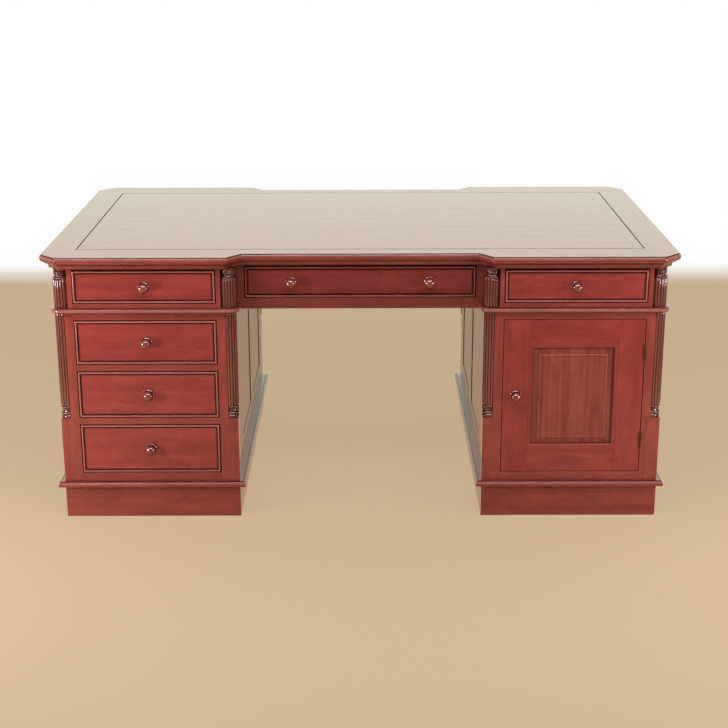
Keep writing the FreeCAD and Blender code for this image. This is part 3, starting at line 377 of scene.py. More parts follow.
SHAFT, REED, REEDS = 20.0, 3.6, 16
RING, NECK, SWELL = 17.5, 16.5, 2.5
VALLEY = (SHAFT - REED) * math.cos(math.pi / REEDS) + math.sqrt(
    REED ** 2 - ((SHAFT - REED) * math.sin(math.pi / REEDS)) ** 2)
REED_END, REED_GAP, REED_FACETS = 5.0, 0.2, 10
PROUD = 1.1

# Turned mahogany: the same timber, but turning opens the grain, so it takes more stain and is darker, with
# small hard highlights on every round.
# Its crest colour is the painted highlight on the reeds' crests.
turned_wood = timber("turned_mahogany", "#531a12", "#762c20", "#622217", "#2c0d08", crest="#a8604f",
                     stripe=9.0, shine=0.06, index=1.85)


def outline_of(low, rings, samples=9):
    """Heights, radii and painted shading of a turned outline. Each ring is a straight taper plus a parabola
    that swells or hollows by the ring's rise, with painted shade in the quirks at its ends. A point that
    repeats the one below it is left out."""
    share = np.linspace(0, 1, samples)
    tall, start, stop, rise = np.array(rings, float).T[:, :, None]
    foot = low + np.cumsum(tall, axis=0) - tall
    bulge = 4 * share * (1 - share)
    quirk_shade = np.broadcast_to((1 - bulge) ** 3, (len(rings), samples))
    radius = start + (stop - start) * share + rise * bulge
    line = np.stack([foot + tall * share, radius, quirk_shade], axis=-1).reshape(-1, 3)
    fresh = np.append(True, np.abs(np.diff(line[:, :2], axis=0)).max(axis=1) > 1e-6)
    return line[fresh]


def turned(height, radius, spokes, painted_shading=0.0):
    """A turned piece about an upright axis: at each height the points stand at equal angles, out by a
    radius that may also change with the angle. The grain runs along the axis."""
    angle = np.linspace(0, 2 * math.pi, spokes, endpoint=False)
    radius = np.broadcast_to(radius, (len(height), spokes))
    level = np.broadcast_to(np.array(height)[:, None], radius.shape)
    points = np.stack([radius * np.cos(angle), radius * np.sin(angle), level], axis=-1).reshape(-1, 3)
    quads, caps = skin(len(height), spokes), ends(len(height), spokes)
    grain = points[np.concatenate([quads.ravel(), *caps])][:, [2, 0, 1]]
    return points, quads, caps, grain, np.broadcast_to(painted_shading, radius.shape).ravel()


def reeded(low, high, below, above):
    """A column between two heights: turned rings below and above a shaft whose radius follows sixteen
    circles set round the axis. Each reed rises from the ground of the shaft in a quarter circle at its
    ends. Painted shade darkens the valleys between the reeds and the quirks between the rings, and a
    painted highlight pales the reeds' crests."""
    spokes = REEDS * REED_FACETS
    phase = (np.arange(spokes) % REED_FACETS / REED_FACETS - 0.5) * (2 * math.pi / REEDS)
    pitch = SHAFT - REED
    crest = pitch * np.cos(phase) + np.sqrt(REED ** 2 - (pitch * np.sin(phase)) ** 2) - VALLEY
    foot = outline_of(low, below) if below else np.zeros((0, 3))
    head_tall = sum(ring[0] for ring in above)
    head = outline_of(high - head_tall, above) if above else np.zeros((0, 3))
    start = low + sum(ring[0] for ring in below)
    stop = high - head_tall
    climb = np.array([0, 0.03, 0.12, 0.28, 0.5, 0.75, 1.0]) * REED_END
    shaft = np.concatenate([start + REED_GAP + climb, (stop - REED_GAP - climb)[::-1]])
    swell = np.sqrt(1 - (1 - climb / REED_END) ** 2)
    level = np.concatenate([foot[:, 0], shaft, head[:, 0]])
    ground = np.concatenate([foot[:, 1], np.full(len(shaft), VALLEY), head[:, 1]])
    rise = np.concatenate([0 * foot[:, 0], swell, swell[::-1], 0 * head[:, 0]])
    radius = ground[:, None] + rise[:, None] * crest
    quirk_shade = np.concatenate([foot[:, 2], 0 * shaft, head[:, 2]])[:, None]
    reed_shading = np.clip(0.9 - 1.5 * crest / (SHAFT - VALLEY), -0.35, 1)
    painted_shading = quirk_shade + np.concatenate([0 * foot[:, 0], 0 * shaft + 1, 0 * head[:, 0]])[:, None] * reed_shading
    return turned(level, radius, spokes, painted_shading)


def at_corners(part):
    """Copies of an upright part at the eight places where columns stand, a little proud of the posts'
    faces."""
    points, *rest = part
    points = points * [PROUD, PROUD, 1]
    spots = [(side * across, face * (FACE_Y - COLUMN_IN), 0)
             for side in SIDES for face in SIDES for across in (FACE_X - COLUMN_IN, KNEE_X + COLUMN_IN)]
    return [(points + spot, *rest) for spot in spots]


ring = (RING, RING, SWELL)
foot_rings = [(11, *ring), (9, *ring), (12, NECK, NECK, -1.5), (6, *ring)]
piece("pedestal_reeded_columns", at_corners(reeded(BLOCK_TOP, WAIST_LOW, foot_rings, [])), turned_wood,
      "carcass", ["pedestal_columns"])


# Pedestal rails: solid mahogany rails tenoned between the posts. The drawer pedestal of each face has four,
# and the cupboard pedestal has one under and one over its door.

OPEN_IN, OPEN_OUT = KNEE_X + POST_WIDE, FACE_X - POST_WIDE
POST_BACK = FACE_Y - POST_DEEP
DRAWER_RAILS = ((BASE_TOP, 139), (289, 309), (451, 471), (603, WAIST_LOW))

rail_parts = []
for face in SIDES:
    for side, levels in ((face, DRAWER_RAILS), (-face, (DRAWER_RAILS[0], DRAWER_RAILS[-1]))):
        for low, high in levels:
            rail_parts.append(board(
                (side * OPEN_IN, face * FACE_Y, low), (side * OPEN_OUT, face * POST_BACK, high), 0))
piece("pedestal_drawer_rails", rail_parts, polished, "carcass", ["pedestal_rails"],
      crease=BOARD_CREASE)


# Pedestal sides: frames of mahogany stiles, rails and a middle muntin, grooved for thin flat panels that
# are set back from the face.

SIDE_THICK = 20.0
STILE_IN, MUNTIN = 358.0, 38.0
PANEL_LOW, PANEL_HIGH = 199.0, 513.0
PANEL_BACK, PANEL_THICK = 1.8, 8.0
PANEL_LINE, PANEL_CLEAN = 5.0, 7.0


def rectangle(x, z):
    """Corners of an upright rectangle, counter-clockwise as seen from the front."""
    return [(x[0], z[0]), (x[1], z[0]), (x[1], z[1]), (x[0], z[1])]


def nested(x, z, steps, along):
    """A panel lying flat: rectangle inside rectangle, each set in and raised by its step, joined by
    sloping faces and closed by the last rectangle above and the first below. Each step also gives the
    painted shading there. The grain runs along x where along is 0, and along z where it is 1."""
    steps = np.array(steps, float)
    corners = np.array(rectangle(x, z))
    inward = np.array([(1, 1), (-1, 1), (-1, -1), (1, -1)])
    plan = corners + steps[:, :1, None] * inward
    level = np.broadcast_to(steps[:, 1, None, None], (len(steps), 4, 1))
    points = np.concatenate([plan, level], axis=2).reshape(-1, 3)
    quads, caps = skin(len(steps), 4), ends(len(steps), 4)
    grain = points[np.concatenate([quads.ravel(), *caps])][:, [along, 1 - along, 2]]
    return points, quads, caps, grain, np.repeat(steps[:, 2], 4)


def to_side(part, way):
    """A part that lies flat, stood up to look out along X: to the right where way is 1, to the left where
    it is -1."""
    points, *rest = part
    return (points[:, [2, 0, 1]] * [way, way, 1], *rest)


# Side mahogany: the case timber with a thinner polish, so that it mirrors less of what stands beside it.
side_wood = timber("side_mahogany", *CASE_COLOURS, polish=0.62)

frame_parts, panel_parts = [], []
for side in SIDES:
    for edge, inward in ((FACE_X, -1), (KNEE_X, 1)):
        out, back = side * edge, side * (edge + inward * SIDE_THICK)
        way = -side * inward
        level = side * edge * way - PANEL_BACK
        for low, high in ((BASE_TOP, PANEL_LOW), (PANEL_HIGH, WAIST_LOW)):
            frame_parts.append(board((out, -STILE_IN, low), (back, STILE_IN, high), 1))
        frame_parts.append(board((out, -MUNTIN, PANEL_LOW), (back, MUNTIN, PANEL_HIGH), 2))
        for face in SIDES:
            frame_parts.append(board(
                (out, face * STILE_IN, BASE_TOP), (back, face * POST_BACK, WAIST_LOW), 2))
            span = sorted((way * face * MUNTIN, way * face * STILE_IN))
            # The panel's margin next to the frame is darkened with painted shade along the recess.
            panel_parts.append(to_side(nested(span, (PANEL_LOW, PANEL_HIGH), [
                (0, level - PANEL_THICK, 0), (0, level, 1), (PANEL_LINE, level, 1),
                (PANEL_CLEAN, level, 0)], 1), way))
piece("pedestal_frames", frame_parts, side_wood, "carcass", ["pedestal_side_frames"],
      crease=BOARD_CREASE)
piece("pedestal_panels", panel_parts, side_wood, "carcass", ["pedestal_side_panels"])


# Waist mouldings: a frame of half-round nosed boards between each pedestal and the frieze. The nose turns
# round the columns, runs into the kneehole and dies against the apron.

WAIST_HIGH = 638.0
WAIST_OUT = 13.0
NOSE = 7.0
CENTRE_Y = 458.0
WAIST_WIDTH = 62.0

nose_section = np.concatenate([
    [(WAIST_WIDTH, WAIST_HIGH)],
    arc((NOSE, WAIST_HIGH - NOSE), NOSE, 90, 180, 8),
    arc((NOSE, WAIST_LOW + NOSE), NOSE, 180, 270, 8),
    [(WAIST_WIDTH, WAIST_LOW)],
])
nose_painted_light = np.zeros(len(nose_section))
# Down the nose: painted shade above, a painted highlight line in the middle, and painted shade below.
nose_painted_light[1:9] = [0.6, 0.5, 0.4, 0.3, 0.15, -0.1, -0.3, -0.35]
nose_painted_light[9:17] = [-0.35, -0.2, 0.1, 0.5, 0.8, 0.9, 0.9, 0.9]
waist_parts = []
for side in SIDES:
    plan = pedestal_plan(side, WAIST_OUT)
    nose_x = side * (KNEE_X - WAIST_OUT)
    turned_plan = plan if side > 0 else plan[2:] + plan[:2]
    path = [(nose_x, -side * CENTRE_Y), *turned_plan, (nose_x, side * CENTRE_Y)]
    waist_parts.append(moulding(path, [0] + [COLUMN_IN + WAIST_OUT] * 4 + [0], nose_section, loop=False,
                                painted_shading=nose_painted_light))
    waist_parts.append(board((side * KNEE_X, -CENTRE_Y, WAIST_LOW),
                             (side * (KNEE_X + WAIST_WIDTH - WAIST_OUT), CENTRE_Y, WAIST_HIGH), 1))
piece("waist_nosings", waist_parts, polished, "carcass", ["waist_mouldings"])


# Boards inside: bottoms, tops, divisions, cupboard shelves and drawer runners of plain mahogany, planed but
# left without polish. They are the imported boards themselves, housed and screwed in the case.

# Bare mahogany: dull and paler than the polished show wood, with only a low even sheen.
bare = timber("bare_mahogany", "#7d4a36", "#a06a4f", "#8e5a43", "#4d2a1d", polish=0.0, rough=0.6,
              carried=False)
for node in ("pedestal_boards", "drawer_runners"):
    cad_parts[node].data.materials.clear()
    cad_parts[node].data.materials.append(bare)


# Frieze: the band under the top. Posts with square notches, rails, aprons under the centre drawers and the
# narrow stiles beside those are solid mahogany, tenoned together, with plain boards for ends and divisions.
# Short reeded columns with turned caps stand in the notches.

TOP_LOW = 752.0
RAIL_TOP, APRON_TOP = 651.0, 655.0
APRON_THICK, CENTRE_STILE, APRON_EASE = 20.0, 23.0, 1.0
POST_NOTCH = 40.8
CENTRE_IN = KNEE_X - CENTRE_STILE
DIVISION, DIVISION_LOW = 6.0, 643.0
# Painted shade laid over the whole centre bay.
CENTRE_PAINTED_SHADE = 0.4

notch_line = [(0, POST_NOTCH), (POST_NOTCH, POST_NOTCH), (POST_NOTCH, 0)]


def shade_centre_bay(part):
    """A part of the centre bay, darkened all over with painted shade, as the bay stands back under the top
    and gets less of the lamps' light."""
    *rest, painted_shading = part
    return (*rest, painted_shading + CENTRE_PAINTED_SHADE)


post_parts = corner_posts(WAIST_HIGH, WAIST_HIGH, TOP_LOW, notch_line)
rail_parts, end_parts = [], []
for face in SIDES:
    front, back = face * CENTRE_Y, face * (CENTRE_Y - APRON_THICK)
    rail_parts.append(shade_centre_bay(board((-KNEE_X, front, WAIST_LOW), (KNEE_X, back, APRON_TOP), 0, APRON_EASE)))
    for side in SIDES:
        stile = board((side * CENTRE_IN, front, APRON_TOP), (side * KNEE_X, back, TOP_LOW), 2)
        post_parts.append(shade_centre_bay(stile))
        rail_parts.append(board((side * OPEN_IN, face * FACE_Y, WAIST_HIGH),
                                (side * OPEN_OUT, face * POST_BACK, RAIL_TOP), 0))
for side in SIDES:
    for edge, inward in ((FACE_X, -1), (KNEE_X, 1)):
        end_parts.append(board((side * edge, -POST_BACK, WAIST_HIGH),
                               (side * (edge + inward * SIDE_THICK), POST_BACK, TOP_LOW), 1))
    end_parts.append(board((side * (KNEE_X + SIDE_THICK), -DIVISION, WAIST_HIGH),
                           (side * (FACE_X - SIDE_THICK), DIVISION, TOP_LOW), 0))
end_parts.append(board((-KNEE_X, -DIVISION, DIVISION_LOW), (KNEE_X, DIVISION, TOP_LOW), 0))
piece("frieze_corner_posts", post_parts, polished, "carcass", ["frieze_posts"],
      crease=BOARD_CREASE)
piece("frieze_rails_and_aprons", rail_parts, polished, "carcass", ["frieze_rails"],
      crease=BOARD_CREASE)
piece("frieze_ends_and_divisions", end_parts, polished, "carcass", ["frieze_boards"],
      crease=BOARD_CREASE)

cap_rings = [(6, *ring), (7, NECK, NECK, -1.5), (5, NECK, NECK, SWELL / 2), (5, NECK, NECK, SWELL / 2),
             (7, NECK, RING, 0)]
piece("frieze_reeded_columns", at_corners(reeded(WAIST_HIGH, TOP_LOW, [], cap_rings)), turned_wood,
      "carcass", ["frieze_columns"])


# Drawers: a mahogany front let into a mitred cockbead, a box of oak behind it, and turned knobs. The knobs
# are turned in one piece with a tenon that is glued into the front.

FRONT_THICK = 20.0
GAP = 1.8
BEAD, BEAD_RISE, BEAD_SEAT, BEAD_GAP = 7.0, 3.2, 2.0, 0.2
LINING, LINING_EASE = 12.0, 1.0
BOX_BACK, BOX_LIFT, BOX_DROP = 50.0, 0.3, 8.0
BACK_THICK = 10.0
FLOOR_LIFT, FLOOR_THICK, FLOOR_EASE = 8.0, 6.0, 0.3
KNOB_MIDDLE, CENTRE_KNOB = (OPEN_IN + OPEN_OUT) / 2, 198.0
KNOB_RINGS = [(7, 13.5, 13.5, 3.0), (7, 8.5, 8.5, -1.2), (13, 11, 11, 3.5)]
KNOB_OUT, CROWN, CROWN_RISE = 31.5, 11.0, 4.5
FRIEZE_HIGH = 749.0

# Drawer mahogany: chosen for the show fronts, redder and lighter than the case, with a faint level figure.
drawer_wood = timber("drawer_mahogany", "#943630", "#aa463d", "#9f3b35", "#541c17", stripe=21.0)

# Oak linings: pale straw brown, planed and waxed, with fine straight grain.
oak = timber("waxed_oak", "#ae885c", "#d2af82", "#be996b", "#80603d", stripe=7.0, polish=0.0, rough=0.5)


def to_front(part):
    """A part that lies flat, stood up to look out of the front face: its top looks forwards."""
    points, *rest = part
    return (points[:, [0, 2, 1]] * [1, -1, 1], *rest)


# Knob mahogany: turned like the columns, but handled, so it is redder and has the brightest polish on the
# desk.
knob_wood = timber("knob_mahogany", "#7c2621", "#9e3c34", "#8c3029", "#43130e", crest="#a8604f",
                   stripe=9.0, shine=0.06, index=2.1)


def knob(x, out, z):
    """A turned knob standing out of the front face: a swelling rose, a hollow neck and a bun whose crown
    is part of a sphere."""
    body = outline_of(0, KNOB_RINGS)
    # No painted shade on the upper half of the bun, where it runs into the crown.
    body[-6:, 2] = 0
    sphere = (CROWN ** 2 + CROWN_RISE ** 2) / (2 * CROWN_RISE)
    lean = np.linspace(math.asin(CROWN / sphere), 0.02, 10)[1:]
    crown = np.stack([KNOB_OUT - sphere * (1 - np.cos(lean)), sphere * np.sin(lean), 0 * lean], axis=1)
    line = np.concatenate([body, crown])
    points, *rest = to_front(turned(line[:, 0], line[:, 1:2], 48, line[:, 2:]))
    return (points + [x, -out, z], *rest)


def drawer(face, name, opening, level, out, knobs):
    """One drawer in its opening, made on the front face and turned half round for the rear."""
    label = f"{face}_{name}_drawer"
    turn = 1 if face == "front" else -1
    x = (opening[0] + GAP, opening[1] - GAP)
    z = (level[0] + GAP, level[1] - GAP)
    back = out - FRONT_THICK
    bead_round = BEAD / 2
    bead_section = np.concatenate([
        [(BEAD, back), (BEAD, out - BEAD_SEAT)],
        arc((bead_round, out + BEAD_RISE - bead_round), bead_round, 0, 180, 13),
        [(0, out - BEAD_SEAT), (0, back)],
    ])
    # A painted highlight pales the bead along its crest, and painted shade darkens its feet.
    foot = np.clip(4.5 * np.abs(bead_section[:, 0] / bead_round - 1) - 2.4, -0.5, 0.9)
    foot[[0, 1, -2, -1]] = 0
    bead = to_front(moulding(rectangle(x, z), [0] * 4, bead_section, painted_shading=foot))
    lap = BEAD + BEAD_GAP
    # Painted shadow of the bead darkens the front's margin inside it.
    panel = nested((x[0] + lap, x[1] - lap), (z[0] + lap, z[1] - lap), [
        (0, back, 0), (0, out - BEAD_SEAT, 0), (0, out, 1), (2.2, out, 0.9), (3.8, out, 0.25),
        (7, out, 0)], 0)
    front = [to_front(panel), bead]
    # The centre drawer's front gets the centre bay's painted shade.
    if out < FACE_Y:
        front = [shade_centre_bay(part) for part in front]
    piece(f"{label}_front_and_bead", front, drawer_wood, label, [f"{label}_front"], turn)
    low, high = level[0] + BOX_LIFT, level[1] - BOX_DROP
    floor = low + FLOOR_LIFT
    inside = (x[0] + LINING, x[1] - LINING)
    box = [
        board((x[0], -back, low), (inside[0], -BOX_BACK, high), 1, LINING_EASE),
        board((inside[1], -back, low), (x[1], -BOX_BACK, high), 1, LINING_EASE),
        board((inside[0], -BOX_BACK - BACK_THICK, floor + FLOOR_THICK), (inside[1], -BOX_BACK, high), 0,
              LINING_EASE),
        board((inside[0], -back, floor), (inside[1], -BOX_BACK, floor + FLOOR_THICK), 0, FLOOR_EASE),
    ]
    piece(f"{label}_oak_box", box, oak, label, [f"{label}_box"], turn, BOARD_CREASE)
    middle = (level[0] + level[1]) / 2
    piece(f"{label}_turned_knob", [knob(spot, out, middle) for spot in knobs], knob_wood, label,
          [f"{label}_knob"], turn)


left_bay = (-OPEN_OUT, -OPEN_IN)
right_bay = (OPEN_IN, OPEN_OUT)
drawer_levels = {
    name: (under[1], over[0])
    for name, under, over in zip(("lower", "middle", "upper"), DRAWER_RAILS, DRAWER_RAILS[1:])}
for face in ("front", "rear"):
    for name in ("upper", "middle", "lower"):
        drawer(face, name, left_bay, drawer_levels[name], FACE_Y, [-KNOB_MIDDLE])
    drawer(face, "frieze_left", left_bay, (RAIL_TOP, FRIEZE_HIGH), FACE_Y, [-KNOB_MIDDLE])
    drawer(face, "frieze_right", right_bay, (RAIL_TOP, FRIEZE_HIGH), FACE_Y, [KNOB_MIDDLE])
    drawer(face, "frieze_centre", (-CENTRE_IN, CENTRE_IN), (APRON_TOP, FRIEZE_HIGH), CENTRE_Y,
           [-CENTRE_KNOB, CENTRE_KNOB])


# Cupboard doors: a mortised frame of stiles and rails, a fielded panel with sloping margins, a small moulding
# mitred round the panel, and a turned knob. The door hangs on two brass butt hinges.

HINGE_GAP = 2.2
DOOR_X = (OPEN_IN + GAP, OPEN_OUT - HINGE_GAP)
DOOR_Z = (DRAWER_RAILS[0][1] + GAP, DRAWER_RAILS[-1][0] - GAP)
DOOR_THICK, DOOR_FRAME, DOOR_EASE = 22.0, 75.0, 0.8
DOOR_BEAD, BEAD_ROUND, BEAD_EASE = 9.0, 5.0, 1.0
DOOR_PANEL, DOOR_KNOB_Z = 8.0, 375.0
SEAT, FIELD_RISE, BEVEL = 8.0, 6.0, 20.0

# Striped mahogany: the panel is cut on the quarter, so its grain stands in clear narrow stripes, and it is
# browner than the frame.
striped = timber("striped_mahogany", "#7f3229", "#a85242", "#954335", "#4a1a12", stripe=15.0, depth=0.3)


for face, turn in (("front", 1), ("rear", -1)):
    label = f"{face}_door"
    gap = (DOOR_X[0] + DOOR_FRAME, DOOR_X[1] - DOOR_FRAME)
    gap_z = (DOOR_Z[0] + DOOR_FRAME, DOOR_Z[1] - DOOR_FRAME)
    back = DOOR_THICK - FACE_Y
    leaf = [
        board((DOOR_X[0], -FACE_Y, DOOR_Z[0]), (gap[0], back, DOOR_Z[1]), 2, DOOR_EASE),
        board((gap[1], -FACE_Y, DOOR_Z[0]), (DOOR_X[1], back, DOOR_Z[1]), 2, DOOR_EASE),
        board((gap[0], -FACE_Y, DOOR_Z[0]), (gap[1], back, gap_z[0]), 0, DOOR_EASE),
        board((gap[0], -FACE_Y, gap_z[1]), (gap[1], back, DOOR_Z[1]), 0, DOOR_EASE),
    ]
    seat = FACE_Y - SEAT
    strip = np.concatenate([
        [(DOOR_BEAD, seat)],
        arc((DOOR_BEAD - BEAD_ROUND, FACE_Y - BEAD_ROUND), BEAD_ROUND, 0, 90, 10),
        arc((BEAD_EASE, FACE_Y - BEAD_EASE), BEAD_EASE, 90, 180, 4),
        [(0, seat)],
    ])
    # Painted shade at the strip's foot against the panel and at its outer edge against the frame.
    strip_painted_shade = np.array([1] + [0] * (len(strip) - 4) + [0.5, 1, 1]) * 0.9
    leaf.append(to_front(moulding(rectangle(gap, gap_z), [0] * 4, strip, painted_shading=strip_painted_shade)))
    field = DOOR_BEAD + BEVEL
    # From the bead's foot, in painted shade, up the sloping margin to the field, with painted shade under its
    # edge and a painted highlight on the edge.
    panel = nested(gap, gap_z, [
        (0, seat - DOOR_PANEL, 0), (0, seat, 1), (DOOR_BEAD, seat, 1), (DOOR_BEAD + 2, seat, 0.35),
        (DOOR_BEAD + 6, seat + 0.2, 0.1), (DOOR_BEAD + 6.5, seat + 0.38, 0.05),
        (field - 2.5, seat + FIELD_RISE - 2.3, 0.05), (field - 1.2, seat + FIELD_RISE - 2.0, 0.4),
        (field + 0.2, seat + FIELD_RISE - 0.5, -0.45), (field + 1.0, seat + FIELD_RISE, -0.3),
        (field + 3, seat + FIELD_RISE, 0)], 1)
    frame_piece = piece(f"{label}_frame_and_panel", leaf + [to_front(panel)], drawer_wood, label,
                        [f"{label}_leaf"], turn, BOARD_CREASE)
    panel_faces = len(panel[1]) + len(panel[2])
    frame_piece.data.materials.append(striped)
    finish = np.zeros(len(frame_piece.data.polygons), int)
    finish[-panel_faces:] = 1
    frame_piece.data.polygons.foreach_set("material_index", finish)
    piece(f"{label}_turned_knob", [knob(DOOR_X[0] + DOOR_FRAME / 2, FACE_Y, DOOR_KNOB_Z)], knob_wood, label,
          [f"{label}_knob"], turn)


# Butt hinges: drawn brass leaves and knuckles on a pin, let into the post and the door edge. They are the
# packed hinges themselves, with age on them.

# Aged brass: brown-gold in blotches, the dark ones dull and the pale ones rubbed bright.
BLOTCH = 12.0
brass = bpy.data.materials.new("aged_brass")
brass.use_nodes = True
tree = brass.node_tree
where = add(tree, "ShaderNodeTexCoord").outputs["Object"]
blotch = add(tree, "ShaderNodeTexNoise", {"Vector": where, "Scale": 1000 / BLOTCH, "Detail": 4.0})
colour = add(tree, "ShaderNodeMix", {
    0: blotch.outputs[0], 6: linear("#41291a"), 7: linear("#85643a")}, data_type="RGBA")
dull = add(tree, "ShaderNodeMapRange", {"Value": blotch.outputs[0], "To Min": 0.55, "To Max": 0.25})
shader = tree.nodes["Principled BSDF"]
shader.inputs["Metallic"].default_value = 1.0
tree.links.new(colour.outputs[2], shader.inputs["Base Color"])
tree.links.new(dull.outputs[0], shader.inputs["Roughness"])
for node in ("post_hinges", "front_door_hinges", "rear_door_hinges"):
    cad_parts[node].data.materials.clear()
    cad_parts[node].data.materials.append(brass)


# Top: a field panel with a dark routed line round it, mitred border boards, and an edge moulding of a large
# torus, a fascia and a cove, mitred round the breakfront steps and the canted corners.

TOP_HIGH = 790.0
TOP_X, TOP_Y = 906.0, 537.0
CANT = 50.0
EDGE = 36.0
FIELD_X, FIELD_Y = 813.0, 428.0
LINE, LINE_DEEP, LINE_EASE = 3.0, 2.5, 0.5
STEP_IN, STEP_OUT = (334.5, 489.0), 372.5
QUIRK_IN, QUIRK_DEEP, QUIRK_EDGE = 5.0, 2.6, 0.6
TORUS, TORUS_DOWN = 12.5, 10.0
# The torus turns between these angles, in degrees, from the quirk's floor to the head of the fascia.
TORUS_FROM, TORUS_TO = 143.7, 233.13
FASCIA_IN, FASCIA_TOP, FASCIA_LOW = 13.0, 20.0, 25.0
COVE = 11.0
CORNER_ROUND = 14.0

quarter = np.array([STEP_IN, (STEP_OUT, TOP_Y), (TOP_X - CANT, TOP_Y), (TOP_X, TOP_Y - CANT)])
edge_plan = np.concatenate([
    quarter[::-1] * (-1, -1), quarter * (1, -1), quarter[::-1], quarter * (-1, 1)])
edge_rounds = np.tile([CORNER_ROUND] * 3 + [0] + [0] + [CORNER_ROUND] * 3, 2)
edge_section = np.concatenate([
    [(EDGE, TOP_HIGH), (QUIRK_IN + QUIRK_EDGE, TOP_HIGH), (QUIRK_IN, TOP_HIGH),
     (QUIRK_IN, TOP_HIGH - QUIRK_DEEP), (QUIRK_IN - QUIRK_EDGE, TOP_HIGH - QUIRK_DEEP)],
    arc((TORUS, TOP_HIGH - TORUS_DOWN), TORUS, TORUS_FROM, TORUS_TO, 12),
    [(FASCIA_IN, TOP_HIGH - FASCIA_TOP), (FASCIA_IN, TOP_HIGH - FASCIA_LOW)],
    arc((FASCIA_IN, TOP_HIGH - FASCIA_LOW - COVE), COVE, 90, 0, 9)[1:],
    [(FASCIA_IN + COVE, TOP_LOW), (EDGE, TOP_LOW)],
])
# Painted shade in the corners of fascia and cove and in the quirk, and a painted highlight line on the torus.
edge_painted_light = np.isin(edge_section[:, 0], (FASCIA_IN, FASCIA_IN + COVE)) * 0.45
edge_painted_light[:17] = [0, 0, 0.95, 0.95, 0.2, 0.1, -0.1, -0.25, -0.15, 0, 0.05, 0.1, 0.1, 0.15, 0.2, 0.25, 0.35]
edge_run = moulding(edge_plan, edge_rounds, edge_section, painted_shading=edge_painted_light)
piece("top_moulded_edge", [edge_run], polished, "carcass", ["top_edge_moulding"])

inner_plan = moulding(edge_plan, [0] * 16, [(EDGE, TOP_LOW), (EDGE, TOP_HIGH)])[0][::2, :2]
cant = (inner_plan[0] + inner_plan[1]) / 2
field_corner = np.array([FIELD_X, FIELD_Y])
front_outline = np.concatenate([
    [cant], inner_plan[1:7], [cant * (-1, 1)], [field_corner * (1, -1)], [field_corner * (-1, -1)]])
end_outline = np.array([
    cant * (-1, 1), inner_plan[7], inner_plan[8], cant * (-1, -1), field_corner, field_corner * (1, -1)])
border = [prism(front_outline * turn, TOP_LOW, TOP_HIGH, 0) for turn in (1, -1)]
border += [prism(end_outline * turn, TOP_LOW, TOP_HIGH, 1) for turn in (1, -1)]
piece("top_border_boards", border, polished, "carcass", ["top_border"])

# The groove's points also carry painted shade, which darkens it a little more.
field = nested((-FIELD_X, FIELD_X), (-FIELD_Y, FIELD_Y), [
    (0, TOP_LOW, 1), (0, TOP_HIGH - LINE_DEEP, 1), (LINE, TOP_HIGH - LINE_DEEP, 1),
    (LINE, TOP_HIGH - LINE_EASE, 1), (LINE + LINE_EASE, TOP_HIGH, 0)], 0)
field_piece = piece("top_field_panel", [field], polished, "carcass", ["top_panel"])
# Routed line: stained nearly black and left without polish, so it stays dark where the top shines.
# It takes the three bands of four faces from the groove's foot to its inner edge.
routed = timber("stained_line", "#140906", "#1c0d09", "#180b07", "#0c0503", polish=0.0, rough=0.9)
field_piece.data.materials.append(routed)
finish = np.zeros(len(field_piece.data.polygons), int)
finish[4:16] = 1
field_piece.data.polygons.foreach_set("material_index", finish)


# Floor, light and camera: a plain pale floor that fades to white, a small lamp low at each side, a long
# lamp overhead, a long dim one in front, a white surround that is brightest behind, and a camera at
# standing height. The low lamps hang under the level of the top, so that the top mirrors none of them.

FLOOR_HALF = 40.0
FADE_FROM, FADE_TO = 2.2, 2.75

floor_mesh = bpy.data.meshes.new("floor")
floor_mesh.from_pydata([
    (-FLOOR_HALF, -FLOOR_HALF, 0), (FLOOR_HALF, -FLOOR_HALF, 0), (FLOOR_HALF, FLOOR_HALF, 0),
    (-FLOOR_HALF, FLOOR_HALF, 0)], [], [(0, 1, 2, 3)])
floor = bpy.data.objects.new("floor", floor_mesh)
bpy.context.scene.collection.objects.link(floor)
pale = bpy.data.materials.new("pale_floor")
pale.use_nodes = True
tree = pale.node_tree
shader = tree.nodes["Principled BSDF"]
shader.inputs["Base Color"].default_value = linear("#c8ad8a")
shader.inputs["Roughness"].default_value = 0.8
shader.inputs["Specular IOR Level"].default_value = 0.2
where = add(tree, "ShaderNodeSeparateXYZ", {0: add(tree, "ShaderNodeTexCoord").outputs["Object"]})
reach = [add(tree, "ShaderNodeMath", {0: where.outputs[axis]}, operation="ABSOLUTE") for axis in ("X", "Y")]
reach[0] = add(tree, "ShaderNodeMath", {0: reach[0].outputs[0], 1: 0.8}, operation="MULTIPLY")
away = add(tree, "ShaderNodeMath", {0: reach[0].outputs[0], 1: reach[1].outputs[0]}, operation="MAXIMUM")
fade = add(tree, "ShaderNodeMapRange", {
    "Value": away.outputs[0], "From Min": FADE_FROM, "From Max": FADE_TO}, interpolation_type="SMOOTHSTEP")
path = add(tree, "ShaderNodeLightPath")
rear = add(tree, "ShaderNodeMath", {0: where.outputs["Y"], 1: -0.5}, operation="GREATER_THAN")
mirrored = add(tree, "ShaderNodeMath", {
    0: path.outputs["Is Glossy Ray"], 1: rear.outputs[0]}, operation="MULTIPLY")
direct = add(tree, "ShaderNodeMath", {
    0: path.outputs["Is Camera Ray"], 1: path.outputs["Is Transmission Ray"]}, operation="MAXIMUM")
seen = add(tree, "ShaderNodeMath", {0: direct.outputs[0], 1: mirrored.outputs[0]}, operation="MAXIMUM")
even = add(tree, "ShaderNodeMapRange", {"Value": fade.outputs[0], "To Min": 0.72, "To Max": 1.0})
share = add(tree, "ShaderNodeMath", {0: seen.outputs[0], 1: even.outputs[0]}, operation="MULTIPLY")
